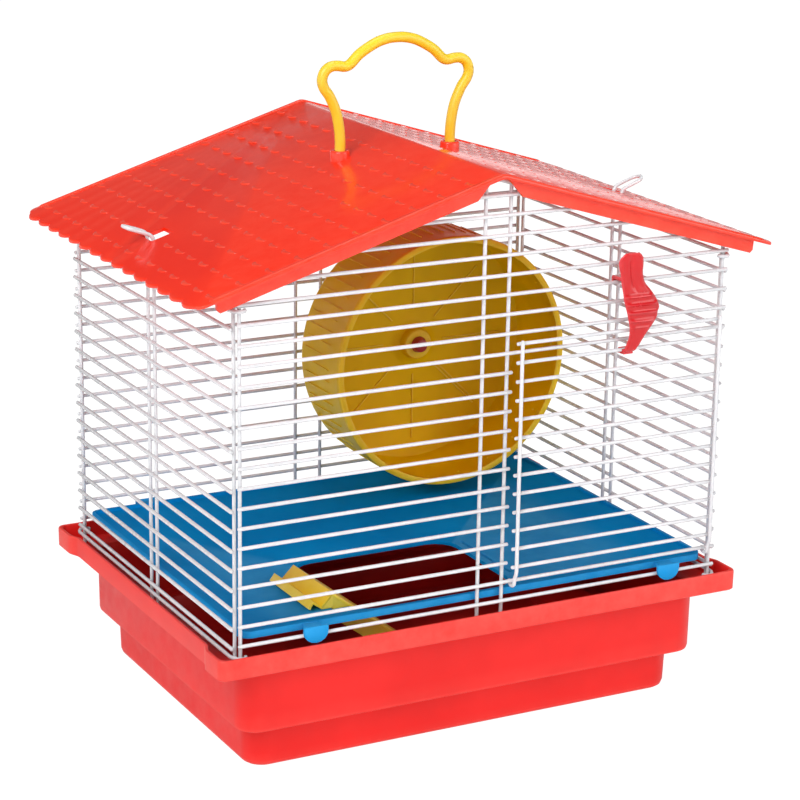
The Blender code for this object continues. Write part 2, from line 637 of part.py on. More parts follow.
# ---------------------------------------------------------------------------------------------
# Shelf and ramp
# ---------------------------------------------------------------------------------------------
def build_shelf():
    """Flat floor with a raised edge, a hatch, and tabs that hang on the lowest bars."""
    low, top = SHELF_LOW, SHELF_TOP
    plate = low + SHELF_WALL
    rim = SHELF_WALL
    shelf = part("shelf", prism("shelf", rounded_rectangle(SHELF_X, SHELF_Y, SHELF_CORNER), low, top), "shelf_blue")
    cut(shelf, prism("dish", rounded_rectangle(SHELF_X - rim, SHELF_Y - rim, SHELF_CORNER - rim), plate, top + 0.01))
    tab_y = BAR_Y + HEX_R + GAP
    for end in (-1, 1):
        for x in (TAB_LEFT_X, TAB_RIGHT_X) if end < 0 else (TAB_LEFT_X,):
            near, far = SHELF_Y - rim, tab_y + 0.0016
            y0, y1 = sorted((end * near, end * far))
            join(shelf, box("arm", (x - TAB_W * 0.3, y0, low + 0.0004), (x + TAB_W * 0.3, y1, top - 0.0004)))
            y0, y1 = sorted((end * tab_y, end * far))
            lobe = [(x + TAB_W / 2 * math.cos(a), BAR0_Z + 0.0020 + 0.0055 * math.sin(a))
                    for a in [math.pi + math.pi * i / 8 for i in range(9)]]
            lobe += [(x + TAB_W / 2, top - 0.0002), (x - TAB_W / 2, top - 0.0002)]
            join(shelf, prism("tab", lobe, y0, y1, XZ_PLANE))
    edge = HATCH_LEFT + RAMP_SEAT
    middle = ((edge + HATCH_RIGHT) / 2, HATCH_Y0 + HATCH_D / 2)
    outline = rounded_rectangle((HATCH_RIGHT - edge) / 2, HATCH_D / 2, HATCH_CORNER, 4, middle)
    cut(shelf, prism("hatch", outline, low - 0.01, top + 0.01))
    seat_end = RAMP_Y0 + RAMP_W + 3 * GAP
    cut(shelf, box("seat", (HATCH_LEFT, RAMP_Y0 - 3 * GAP, low - 0.01), (edge + HATCH_CORNER, seat_end, top + 0.01)))
    slit_x = HATCH_RIGHT + 0.004
    cut(shelf, box("slit", (slit_x, HATCH_Y0 + 0.016, low - 0.01), (slit_x + 0.002, HATCH_Y0 + HATCH_D - 0.008, top + 0.01)))


def build_ramp():
    """Ramp with a zigzag hook over the hatch's edge and a skirt down each side of its slope."""
    plate = SHELF_LOW + SHELF_WALL + GAP + RAMP_WALL / 2
    slope = math.tan(math.radians(RAMP_DEG))
    peak = (HATCH_LEFT + 0.0002, plate + RAMP_PEAK)
    foot_z = TRAY_WALL + GAP + RAMP_WALL
    foot = (peak[0] + (peak[1] - foot_z) / slope, foot_z)
    line = [(HATCH_LEFT - 0.0123, plate + 0.0004), (HATCH_LEFT - 0.0102, plate + 0.0036),
            (HATCH_LEFT - 0.0056, plate + 0.0002), peak, foot]
    y0 = RAMP_Y0
    ramp = part("ramp", prism("ramp", offset_strip(line, RAMP_WALL), y0, y0 + RAMP_W, XZ_PLANE),
                "handle_yellow", (peak[0], y0 + RAMP_W / 2, SHELF_TOP))
    edge_x = HATCH_LEFT + 0.0007
    drop = RAMP_SKIRT / math.cos(math.radians(RAMP_DEG))
    low_x = foot[0] - (drop - RAMP_WALL) / slope
    skirt = [(edge_x, peak[1] - 0.0012), (edge_x, peak[1] - 0.0012 - drop),
             (low_x, foot_z - RAMP_WALL * 0.4), (foot[0] - 0.0010, foot_z - RAMP_WALL * 0.4)]
    for low in (y0 + 0.0001, y0 + RAMP_W - RAMP_WALL - 0.0001):
        join(ramp, prism("ramp_skirt", skirt, low, low + RAMP_WALL, XZ_PLANE))


# ---------------------------------------------------------------------------------------------
# Wheel
# ---------------------------------------------------------------------------------------------
def turned_solid(name, profile, centre, steps):
    """A profile of (radius, y) pairs turned about an axis along Y."""
    bm = bmesh.new()
    verts = [bm.verts.new((radius, y, 0)) for radius, y in profile]
    pairs = list(zip(verts, verts[1:]))
    if profile[0][0] > 1e-9:
        pairs.append((verts[-1], verts[0]))
    edges = [bm.edges.new(pair) for pair in pairs]
    bmesh.ops.spin(bm, geom=[*verts, *edges], cent=(0, 0, 0), axis=(0, 1, 0), angle=math.tau,
                   steps=steps, use_merge=True)
    bmesh.ops.remove_doubles(bm, verts=bm.verts, dist=1e-6)
    bmesh.ops.translate(bm, verts=bm.verts, vec=centre)
    return mesh_from(bm, name)


def build_wheel():
    """Running wheel: a drum open to the front, turning on an axle held by a bracket on the back bars."""
    centre = (WHEEL_X, 0, WHEEL_Z)
    radius, wall, bore = WHEEL_R, WHEEL_WALL, AXLE_R + AXLE_FIT
    back, front = WHEEL_BACK, WHEEL_FRONT
    profile = [
        (bore, back), (HUB_R + 0.003, back), (HUB_R + 0.006, back - 0.0012), (radius - 0.003, back - 0.0012),
        (radius - 0.0005, back - 0.0035), (radius - 0.0005, front + 0.003), (radius, front + 0.003),
        (radius, front), (radius - 0.0035, front), (radius - 0.0005 - wall, front + 0.003),
        (radius - 0.0005 - wall, back - 0.0045), (radius - 0.0045, back - 0.0012 - wall),
        (HUB_R + 0.002, back - 0.0012 - wall), (HUB_R, back - HUB_LEN), (bore, back - HUB_LEN),
    ]
    part("wheel", turned_solid("wheel", profile, centre, 36), "wheel_yellow", (WHEEL_X, back, WHEEL_Z))
    seat = BRACKET_BACK - BRACKET_T
    bracket = part("wheel_bracket", cylinder_y("wheel_bracket", (WHEEL_X, WHEEL_Z), BRACKET_R, seat, BRACKET_BACK, 24),
                   "axle_red")
    lug = (BAR_PITCH - 2 * HEX_R - 2 * GAP) / 2
    below = math.floor((WHEEL_Z - BAR0_Z) / BAR_PITCH)
    middle = bar_z(below) + BAR_PITCH / 2
    reach = BAR_Y + HEX_R + GAP
    for x in (WHEEL_X - 0.008, WHEEL_X + 0.008):
        join(bracket, box("lug", (x - 0.004, BRACKET_BACK - 0.001, middle - lug), (x + 0.004, reach + 0.0016, middle + lug)))
        join(bracket, box("catch", (x - 0.004, reach, middle - 0.0002), (x + 0.004, reach + 0.0016, middle + BAR_PITCH / 2 + 0.001)))
    cut(bracket, cylinder_y("seat", (WHEEL_X, WHEEL_Z), AXLE_R + 0.0012 + GAP, seat - 0.001, BRACKET_BACK - 0.0010, 24))
    head = back - HUB_LEN - 0.0006
    shaft = [
        (0, BRACKET_BACK - 0.0010 - GAP), (AXLE_R + 0.0012, BRACKET_BACK - 0.0010 - GAP), (AXLE_R + 0.0012, back + 0.0008),
        (AXLE_R, back + 0.0008), (AXLE_R, head), (AXLE_R + 0.0016, head), (AXLE_R + 0.0006, head - 0.0035), (0, head - 0.0040),
    ]
    part("wheel_axle", turned_solid("wheel_axle", shaft, centre, 24), "axle_red", (WHEEL_X, seat, WHEEL_Z))


# ---------------------------------------------------------------------------------------------
# Assembly
# ---------------------------------------------------------------------------------------------
def main():
    """Build the whole cage."""
    build_tray()
    end_panel("front_panel", -1, (MID_LEFT_X, MID_RIGHT_X), MID_RIGHT_X)
    end_panel("back_panel", 1, (-0.0075, 0.0080))
    side_panel("left_panel", -1)
    side_panel("right_panel", 1)
    build_rails()
    build_roof_hook("roof_hook_left", -1)
    build_roof_hook("roof_hook_right", 1)
    build_door()
    build_latch()
    build_roof()
    collar("handle_collar_left", -1)
    collar("handle_collar_right", 1)
    build_handle()
    build_shelf()
    build_ramp()
    build_wheel()


clear_scene()
PARTS = new_collection(OBJECT_NAME)
CUTTERS = new_collection("cutters")
main()
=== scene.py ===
"""Looks of the hamster cage: coated wire, moulded polypropylene and a pale studio."""
from __future__ import annotations

import json
import logging
import math
from dataclasses import dataclass, field
from enum import Enum

import bmesh
import bpy
from bmesh.types import BMEdge, BMesh, BMVert
from mathutils import Matrix, Vector

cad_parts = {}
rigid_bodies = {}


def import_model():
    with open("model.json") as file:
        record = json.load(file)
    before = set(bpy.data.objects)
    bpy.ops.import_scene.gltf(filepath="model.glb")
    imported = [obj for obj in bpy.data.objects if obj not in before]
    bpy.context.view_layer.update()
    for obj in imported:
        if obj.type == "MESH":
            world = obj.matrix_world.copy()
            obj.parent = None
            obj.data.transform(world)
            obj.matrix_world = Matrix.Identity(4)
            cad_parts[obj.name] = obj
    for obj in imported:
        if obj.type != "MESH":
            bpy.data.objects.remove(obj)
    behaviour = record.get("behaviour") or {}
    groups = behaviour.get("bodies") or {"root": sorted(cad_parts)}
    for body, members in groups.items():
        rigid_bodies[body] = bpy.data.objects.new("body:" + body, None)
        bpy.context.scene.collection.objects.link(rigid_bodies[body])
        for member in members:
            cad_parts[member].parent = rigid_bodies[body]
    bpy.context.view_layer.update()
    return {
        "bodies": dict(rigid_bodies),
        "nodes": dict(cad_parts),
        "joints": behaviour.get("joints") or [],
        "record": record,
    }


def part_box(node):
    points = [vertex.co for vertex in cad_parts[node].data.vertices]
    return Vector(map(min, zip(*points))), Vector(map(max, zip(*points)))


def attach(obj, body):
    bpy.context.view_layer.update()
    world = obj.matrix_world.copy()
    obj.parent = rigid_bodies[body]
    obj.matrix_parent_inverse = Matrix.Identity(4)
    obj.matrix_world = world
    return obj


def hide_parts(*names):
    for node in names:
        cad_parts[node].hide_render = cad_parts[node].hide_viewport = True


LOG = logging.getLogger("hamster_cage")
MM = 0.001
# A place or a size, and a flat outline.
XYZ = tuple[float, float, float]
Outline = list[tuple[float, float]]

# Sizes that several sub-assemblies share.
WIRE_R = 1.0 * MM
WIRE_SIDES = 8
# Centre line of a wire that curls round another, with a little room between the two.
CURL_R = 2.67 * MM
ROOF_RIDGE = 295.2 * MM
ROOF_SLOPE = 0.302
# How far each ring of a wire's domed end stands out, and its size, as shares of the wire's radius.
DOME = ((0.55, 0.45), (0.35, 0.8))


# ----------------------------------------
# Finishes
# ----------------------------------------
def srgb(code: str) -> tuple[float, float, float, float]:
    """Turn an sRGB hex value to linear colour.

    Args:
        code: Six hex digits.

    Returns:
        Linear red, green, blue and an alpha of 1.
    """
    channels = [int(code[i:i + 2], 16) / 255 for i in (0, 2, 4)]
    linear = [c / 12.92 if c <= 0.04045 else ((c + 0.055) / 1.055) ** 2.4 for c in channels]
    return (linear[0], linear[1], linear[2], 1.0)


def add(tree: bpy.types.NodeTree, kind: str, settings: dict[str, object] | None = None,
        **inputs: object) -> bpy.types.Node:
    """Add a shader node with its settings, values and links.

    Args:
        tree: The material's node tree.
        kind: The node's type, without the ShaderNode in front.
        settings: Properties of the node.
        **inputs: A value, or an output socket to link from, for each input. Underscores stand for
            spaces, and a name of i and a number picks an input by its place.

    Returns:
        The new node.
    """
    node = tree.nodes.new(f"ShaderNode{kind}")
    for name, value in (settings or {}).items():
        setattr(node, name, value)
    for name, value in inputs.items():
        if name[0] == "i" and name[1:].isdigit():
            socket = node.inputs[int(name[1:])]
        else:
            socket = node.inputs[name.replace("_", " ")]
        if isinstance(value, bpy.types.NodeSocket):
            tree.links.new(value, socket)
        else:
            socket.default_value = value
    return node


class Texture(Enum):
    """A surface as its mould or coat left it. The value is the depth of its grain in millimetres."""

    SATIN = 0.05
    GRAINED = 0.09
    COATED = 0.03


@dataclass(frozen=True)
class Moulded:
    """Injection-moulded polypropylene, or the dipped coat on steel wire.

    Polypropylene has a soft, slightly waxy gloss: a broad highlight, faint flow marks in the
    colour, fine mould grain, and edges that are paler where they've been handled.
    """

    name: str
    slot: str
    colour: str
    deep: str
    edge: str
    roughness: float
    texture: Texture = Texture.SATIN
    subsurface: float = 0.0
    grain_mm: float = 0.8
    bump: float = 0.12
    coat: float = 0.0
    ior: float = 1.49

    def build(self) -> bpy.types.Material:
        """Make the material once.

        Returns:
            The material, with its nodes on Object coordinates.
        """
        found = bpy.data.materials.get(self.name)
        if found:
            return found
        mat = bpy.data.materials.new(self.name)
        mat.use_nodes = True
        tree = mat.node_tree
        shader = tree.nodes["Principled BSDF"]
        place = add(tree, "TexCoord").outputs["Object"]
        # Flow of the melt: slow colour drift over about 60 mm.
        flow = add(tree, "TexNoise", Vector=place, Scale=1 / (60 * MM), Detail=3.0, Roughness=0.55)
        # Handling marks and dust: patches of about 9 mm.
        marks = add(tree, "TexNoise", Vector=place, Scale=1 / (9 * MM), Detail=5.0, Roughness=0.65)
        # Mould grain, drawn a little coarser than real so that it shows.
        grain = add(tree, "TexNoise", Vector=place, Scale=1 / (self.grain_mm * MM), Detail=2.0)
        tone = add(tree, "ValToRGB", Fac=flow.outputs["Fac"])
        tone.color_ramp.elements[0].position = 0.36
        tone.color_ramp.elements[0].color = srgb(self.deep)
        tone.color_ramp.elements[1].position = 0.62
        tone.color_ramp.elements[1].color = srgb(self.colour)
        worn = add(tree, "NewGeometry").outputs["Pointiness"]
        rim = add(tree, "MapRange", Value=worn, From_Min=0.515, From_Max=0.56, To_Min=0.0, To_Max=0.55)
        speck = add(tree, "Math", {"operation": "MULTIPLY"}, i0=rim.outputs[0],
                    i1=marks.outputs["Fac"])
        # The Mix node has several inputs called A and B, so the colours go in by place.
        mixed = add(tree, "Mix", {"data_type": "RGBA"}, Factor=speck.outputs[0],
                    i6=tone.outputs["Color"], i7=srgb(self.edge))
        tree.links.new(mixed.outputs[2], shader.inputs["Base Color"])
        rough = add(tree, "MapRange", Value=marks.outputs["Fac"], From_Min=0.3, From_Max=0.7,
                    To_Min=self.roughness - 0.05, To_Max=self.roughness + 0.07)
        tree.links.new(rough.outputs[0], shader.inputs["Roughness"])
        fine = add(tree, "Bump", Strength=self.bump, Distance=self.texture.value * MM,
                   Height=grain.outputs["Fac"])
        sway = add(tree, "Bump", Strength=0.30, Distance=0.6 * MM, Height=flow.outputs["Fac"],
                   Normal=fine.outputs["Normal"])
        tree.links.new(sway.outputs["Normal"], shader.inputs["Normal"])
        shader.inputs["IOR"].default_value = self.ior
        if self.subsurface:
            shader.inputs["Subsurface Weight"].default_value = self.subsurface
            shader.inputs["Subsurface Radius"].default_value = (1.2 * MM, 0.6 * MM, 0.4 * MM)
            shader.inputs["Subsurface Scale"].default_value = 1.0
        if self.coat:
            shader.inputs["Coat Weight"].default_value = self.coat
            shader.inputs["Coat Roughness"].default_value = 0.12
        return mat


# White epoxy-dipped steel: smooth, bright, with a soft highlight along each wire.
WIRE_COAT = Moulded("epoxy_dipped_wire", "wire_white", "DFE0E3", "D0D2D6", "F6F6F8", 0.26,
                    Texture.COATED, grain_mm=1.4, bump=0.08, coat=0.35)
# Scarlet polypropylene of the roof: fine leathery grain, broad soft sheen.
ROOF_RED = Moulded("scarlet_polypropylene_roof", "roof_red", "FA3014", "F42A10", "FF6A50", 0.18,
                   Texture.GRAINED, grain_mm=0.7, bump=0.16)
# The same plastic in the tray, whose low IOR keeps its walls from mirroring the floor.
TRAY_RED = Moulded("scarlet_polypropylene_tray", "tray_red", "F02622", "E6201C", "FF7A6C", 0.36,
                   ior=1.36, grain_mm=0.9, bump=0.09)
# Cherry-red acetal of the latch: denser and glossier.
LATCH_RED = Moulded("cherry_acetal", "latch_red", "D81018", "C40A12", "F06068", 0.22, grain_mm=1.0,
                    bump=0.06, coat=0.2)
# The axle's darker acetal.
AXLE_RED = Moulded("crimson_acetal", "axle_red", "A81414", "8C0C0C", "D05050", 0.32, grain_mm=0.8,
                   bump=0.08)
# Sunny yellow polypropylene of the handle and the ramp.
HANDLE_YELLOW = Moulded("sunflower_polypropylene", "handle_yellow", "F2D010", "E8C20A", "FFEC8A", 0.34,
                        grain_mm=0.9, bump=0.08)
# The running wheel's deeper, slightly see-through yellow, with only a faint sheen.
WHEEL_YELLOW = Moulded("mustard_polypropylene", "wheel_yellow", "EEC400", "E0B400", "F8E070", 0.40,
                       ior=1.2, subsurface=0.12, grain_mm=0.9, bump=0.08)
# Azure polypropylene of the floor: matt, with hardly any sheen.
SHELF_BLUE = Moulded("azure_polypropylene", "shelf_blue", "0090D8", "0084CC", "58B8EC", 0.60, ior=1.12,
                     grain_mm=0.9, bump=0.09)


# ----------------------------------------
# Mesh helpers
# ----------------------------------------
def finish_mesh(bm: BMesh, name: str, finish: Moulded, body: str, *nodes: str,
                smooth: float = 35.0) -> bpy.types.Object:
    """Turn a bmesh into a finished piece that rides on its body.

    Args:
        bm: The mesh, in the row frame. It is freed.
        name: Name of the piece.
        finish: Its finish, which knows its material slot of the record.
        body: The body that it moves with.
        *nodes: CAD nodes that it stands for.
        smooth: Faces that meet at less than this angle, in degrees, are shaded as one.

    Returns:
        The piece's object.
    """
    bmesh.ops.remove_doubles(bm, verts=bm.verts, dist=1e-6)
    bmesh.ops.recalc_face_normals(bm, faces=bm.faces)
    for edge in bm.edges:
        edge.smooth = len(edge.link_faces) == 2 and edge.calc_face_angle(0.0) < math.radians(smooth)
    for face in bm.faces:
        face.smooth = True
    mesh = bpy.data.meshes.new(name)
    bm.to_mesh(mesh)
    bm.free()
    obj = bpy.data.objects.new(name, mesh)
    bpy.context.scene.collection.objects.link(obj)
    mesh.materials.append(finish.build())
    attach(obj, body)
    if nodes:
        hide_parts(*nodes)
    LOG.info("%s: %d faces on %s", name, len(mesh.polygons), body)
    return obj


def sweep(bm: BMesh, route: list[Vector], radius: float = WIRE_R,
          sides: int = WIRE_SIDES) -> None:
    """Add a round wire with domed ends along a route, by moving a circle and bridging its copies.

    Args:
        bm: The mesh to add to.
        route: Points of the centre line.
        radius: Wire radius.
        sides: Faces round the wire.
    """
    stations: list[tuple[Vector, Vector, float]] = []
    count = len(route)
    for index, point in enumerate(route):
        before, after = route[max(index - 1, 0)], route[min(index + 1, count - 1)]
        stations.append((point, (after - before).normalized(), radius))
    first, last = stations[0], stations[-1]
    lead = [(first[0] - first[1] * radius * out, first[1], radius * share) for out, share in DOME]
    tail = [(last[0] + last[1] * radius * out, last[1], radius * share) for out, share in DOME[::-1]]
    stations = lead + stations + tail
    rings: list[list[BMEdge]] = []
    turn = stations[0][1].to_track_quat("Z", "Y")
    for point, along, size in stations:
        turn = turn @ Vector((0, 0, 1)).rotation_difference(turn.inverted() @ along)
        place = Matrix.Translation(point) @ turn.to_matrix().to_4x4()
        ring = bmesh.ops.create_circle(bm, segments=sides, radius=size, matrix=place)["verts"]
        rings.append(list({e for v in ring for e in v.link_edges}))
    for near, far in zip(rings, rings[1:]):
        bmesh.ops.bridge_loops(bm, edges=near + far)
    for ring in (rings[0], rings[-1]):
        bmesh.ops.contextual_create(bm, geom=ring)


def smooth_route(points: list[XYZ], steps: int = 5) -> list[Vector]:
    """Points on a smooth curve through the given points.

    Args:
        points: Points that the curve passes through.
        steps: Points for each stretch.

    Returns:
        The finer route.
    """
    anchors = [Vector(p) for p in points]
    anchors = [anchors[0] * 2 - anchors[1], *anchors, anchors[-1] * 2 - anchors[-2]]
    route: list[Vector] = []
    for i in range(1, len(anchors) - 2):
        a, b, c, d = anchors[i - 1:i + 3]
        for step in range(steps):
            t = step / steps
            route.append(0.5 * (2 * b + (c - a) * t + (2 * a - 5 * b + 4 * c - d) * t**2
                                + (3 * b - a - 3 * c + d) * t**3))
    route.append(anchors[-2])
    return route


def corner_arc(centre: tuple[float, float], radius: float, start: float, end: float,
               steps: int) -> Outline:
    """Points on an arc.

    Args:
        centre: Middle of the arc.
        radius: Its radius.
        start: First angle in degrees.
        end: Last angle in degrees.
        steps: Number of stretches.

    Returns:
        The points.
    """
    turns = [math.radians(start + (end - start) * i / steps) for i in range(steps + 1)]
    return [(centre[0] + radius * math.cos(t), centre[1] + radius * math.sin(t)) for t in turns]


def slab(bm: BMesh, outline: list[XYZ],
         push: XYZ) -> None:
    """Add a flat outline, pushed out into a solid board.

    Args:
        bm: The mesh to add to.
        outline: Points of the flat face.
        push: Way and thickness of the board.
    """
    face = bm.faces.new([bm.verts.new(point) for point in outline])
    pulled = bmesh.ops.extrude_face_region(bm, geom=[face])["geom"]
    lifted = [g for g in pulled if isinstance(g, BMVert)]
    bmesh.ops.translate(bm, verts=lifted, vec=push)


def turned(bm: BMesh, profile: Outline, axis: tuple[int, int, int],
           steps: int, closed: bool = False) -> None:
    """Turn a profile through a full circle about the Y or the Z axis.

    Args:
        bm: The mesh to add to.
        profile: Radius and place along the axis of each point, in millimetres.
        axis: The axis.
        steps: Stretches in the circle.
        closed: Join the profile's last point to its first.
    """
    verts = [bm.verts.new((r * MM, along * MM * axis[1], along * MM * axis[2])) for r, along in profile]
    pairs = zip(verts, verts[1:] + verts[:1]) if closed else zip(verts, verts[1:])
    edges = [bm.edges.new(pair) for pair in pairs]
    bmesh.ops.spin(bm, geom=[*verts, *edges], cent=(0, 0, 0), axis=axis, angle=math.tau, steps=steps,
                   use_merge=True)


def loft(bm: BMesh, rings: list[tuple[Outline, float]],
         close: bool = True) -> None:
    """Join outlines at different heights into one skin, by extruding each ring from the last.

    Args:
        bm: The mesh to add to.
        rings: Outline and height of each ring. They all have the same number of points.
        close: Fill the first and the last ring.
    """
    outline, height = rings[0]
    verts = [bm.verts.new((x, y, height)) for x, y in outline]
    edges = [bm.edges.new((a, b)) for a, b in zip(verts, verts[1:] + verts[:1])]
    if close:
        bmesh.ops.contextual_create(bm, geom=edges)
    known = set(verts)
    for outline, height in rings[1:]:
        bmesh.ops.extrude_edge_only(bm, edges=edges)
        verts = [next(v for v in (e.other_vert(old) for e in old.link_edges) if v not in known)
                 for old in verts]
        known.update(verts)
        for vert, (x, y) in zip(verts, outline):
            vert.co = (x, y, height)
        edges = [bm.edges.get(pair) for pair in zip(verts, verts[1:] + verts[:1])]
    if close:
        bmesh.ops.contextual_create(bm, geom=edges)


# ----------------------------------------
# Wire house and door
# ----------------------------------------
@dataclass
class WireHouse:
    """The four wire panels, their rails and the roof's hooks."""

    pitch: float = 10 * MM
    lowest: float = 73.5 * MM
    end_bars: int = 22
    door_rows: range = range(2, 13)
    bar_y: float = 105.5 * MM
    post_x: float = 135.5 * MM
    post_y: float = 103.5 * MM
    foot: float = 61.1 * MM
    apex: float = 291.8 * MM
    bend: float = 3 * MM
    stub: float = 1.5 * MM
    front_uprights: tuple[float, float] = (-4.5 * MM, 9.5 * MM)
    back_uprights: tuple[float, float] = (-7.5 * MM, 8.0 * MM)
    side_bars: int = 17
    side_drop: float = 2.2 * MM
    side_bar_x: float = 139.0 * MM
    side_post_x: float = 137.0 * MM
    side_post_y: float = 100.3 * MM
    side_post_top: float = 242.2 * MM
    pair_y: float = 4 * MM
    pair_top: float = 244.6 * MM
    rail_x: float = 139.6 * MM
    low_rail: float = 67.3 * MM
    high_rail: float = 240.5 * MM
    knee: float = 254.6 * MM

    def straight(self, bm: BMesh, start: XYZ,
                 end: XYZ) -> None:
        """Add a straight wire with softly domed ends."""
        sweep(bm, [Vector(start), Vector(end)])

    def weld(self, bm: BMesh, x: float, y: float, z: float) -> None:
        """Add the small bead of coat that gathers where two wires cross."""
        bmesh.ops.create_icosphere(bm, subdivisions=1, radius=WIRE_R * 0.95,
                                   matrix=Matrix.Translation((x, y, z)))

    def bar_z(self, index: int) -> float:
        """Height of a bar of the front or the back."""
        return self.lowest + index * self.pitch

    def end_panel(self, side: int, uprights: tuple[float, float], door: bool) -> BMesh:
        """Build the front or the back panel.

        Args:
            side: -1 for the front, +1 for the back.
            uprights: Places of the middle uprights.
            door: Leave the door's opening free.

        Returns:
            The panel's mesh.
        """
        bm = bmesh.new()
        top = self.apex - self.post_x * ROOF_SLOPE
        for index in range(self.end_bars):
            z = self.bar_z(index)
            half = self.post_x + self.stub if z < top else (self.apex - z) / ROOF_SLOPE + 0.3 * MM
            right = uprights[-1] + self.stub if door and index in self.door_rows else half
            self.straight(bm, (-half, side * self.bar_y, z), (right, side * self.bar_y, z))
            crossings = [-self.post_x, self.post_x, *uprights] if z < top else [*uprights]
            for x in crossings:
                if -half <= x <= right:
                    self.weld(bm, x, side * (self.bar_y - WIRE_R * 0.9), z)
        y = side * self.post_y
        bend = self.bend
        half_frame = [(self.post_x, self.foot), (self.post_x, top - bend),
                      (self.post_x - bend * 0.25, top - bend * 0.15),
                      (self.post_x - bend, top + bend * ROOF_SLOPE), (bend, self.apex - bend * ROOF_SLOPE)]
        frame = [(-x, z) for x, z in half_frame] + [(0, self.apex - 0.2 * MM)] + half_frame[::-1]
        sweep(bm, [Vector((x, y, z)) for x, z in frame])
        for x in uprights:
            self.straight(bm, (x, y, self.foot), (x, y, self.apex - abs(x) * ROOF_SLOPE))
        return bm

    def side_panel(self, side: int) -> BMesh:
        """Build a side panel.

        Args:
            side: -1 for the left, +1 for the right.

        Returns:
            The panel's mesh.
        """
        bm = bmesh.new()
        x, bar_x = side * self.side_post_x, side * self.side_bar_x
        reach = self.side_post_y + self.stub
        for index in range(self.side_bars):
            z = self.bar_z(index) - self.side_drop
            self.straight(bm, (bar_x, -reach, z), (bar_x, reach, z))
            for y in (-self.side_post_y, -self.pair_y, self.pair_y, self.side_post_y):
                self.weld(bm, side * (self.side_bar_x - WIRE_R * 0.9), y, z)
        for y, top in ((self.side_post_y, self.side_post_top), (self.pair_y, self.pair_top)):
            self.straight(bm, (x, -y, self.foot), (x, -y, top))
            self.straight(bm, (x, y, self.foot), (x, y, top))
        return bm

    def rail(self, side: int, height: float) -> BMesh:
        """Build a rail whose ends hook round the front and back posts.

        Args:
            side: -1 for the left, +1 for the right.
            height: Height of its centre line.

        Returns:
            The rail's mesh.
        """
        bm = bmesh.new()
        curl = corner_arc((self.post_x, self.post_y), CURL_R, 12, 172, 12)
        half = [(self.rail_x, 60 * MM), (self.rail_x, 99 * MM), (self.rail_x - 0.1 * MM, 101 * MM),
                (self.rail_x - 0.5 * MM, 102.4 * MM), *curl]
        route = [Vector((side * x, -y, height)) for x, y in reversed(half)]
        route += [Vector((side * x, y, height)) for x, y in half]
        sweep(bm, route)
        return bm

    def roof_hook(self, side: int) -> BMesh:
        """Build a hairpin that comes up through the roof and leans out.

        Args:
            side: -1 for the left, +1 for the right.

        Returns:
            The hairpin's mesh.
        """
        low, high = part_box("roof_hook_left" if side < 0 else "roof_hook_right")
        bm = bmesh.new()
        x, half, knee = side * self.side_post_x, self.pair_y, self.knee
        tip_x, tip_z = (low.x + WIRE_R if side < 0 else high.x - WIRE_R), high.z - WIRE_R
        lean = Vector((tip_x - x, tip_z - knee))
        points = [(x, -half, low.z), (x, -half, knee - 1.5 * MM), (x + side * 0.5 * MM, -half, knee),
                  (x + side * 2.2 * MM, -half, knee + 1.7 * MM),
                  (x + lean.x * 0.62, -half, knee + lean.y * 0.66),
                  (x + lean.x * 0.86, -half * 0.8, knee + lean.y * 0.86),
                  (tip_x, 0, tip_z)]
        mirrored = [(a, -b, c) for a, b, c in reversed(points[:-1])]
        sweep(bm, smooth_route(points + mirrored, 4))
        return bm

    def dress(self, bm: BMesh, name: str, node: str, body: str = "cage") -> None:
        """Finish a wire piece that stands for a CAD node."""
        finish_mesh(bm, name, WIRE_COAT, body, node, smooth=60)

    def build(self) -> None:
        """Build every wire of the house."""
        self.dress(self.end_panel(-1, self.front_uprights, True), "front_wires", "front_panel")
        self.dress(self.end_panel(1, self.back_uprights, False), "back_wires", "back_panel")
        for side, word in ((-1, "left"), (1, "right")):
            self.dress(self.side_panel(side), f"{word}_wires", f"{word}_panel")
            self.dress(self.rail(side, self.low_rail), f"{word}_low_rail", f"{word}_bottom_rail")
            self.dress(self.rail(side, self.high_rail), f"{word}_high_rail", f"{word}_top_rail")
            self.dress(self.roof_hook(side), f"{word}_hairpin", f"roof_hook_{word}", f"hook_{word}")


@dataclass
class WireDoor:
    """The drop-down door, hooked round a low bar of the front."""

    bars: int = 13
    pitch: float = 9.75 * MM
    left: float = 14.4 * MM
    right: float = 131.5 * MM
    stub: float = 1.5 * MM
    bar_y: float = -108.1 * MM
    post_out: float = 2 * MM
    hinge: tuple[float, float] = (-105.5 * MM, 83.5 * MM)
    over_hinge: float = 8 * MM

    def build(self) -> None:
        """Build the bars, the two uprights and their hooks."""
        bm = bmesh.new()
        stub = self.stub
        bottom = self.hinge[1] + self.over_hinge
        top = bottom + (self.bars - 1) * self.pitch
        out = self.bar_y - self.post_out
        for index in range(self.bars):
            z = bottom + index * self.pitch
            sweep(bm, [Vector((self.left - stub, self.bar_y, z)), Vector((self.right + stub, self.bar_y, z))])
        curl = corner_arc(self.hinge, CURL_R, 180, 350, 10)
        for x in (self.left, self.right):
            route = [(out, top + stub), (out, bottom - stub), (out + 0.5 * MM, bottom - 3.6 * MM),
                     (out + 1.4 * MM, bottom - 5.4 * MM), *curl]
            sweep(bm, [Vector((x, y, z)) for y, z in route])
        finish_mesh(bm, "door_wires", WIRE_COAT, "door", "door", smooth=60)


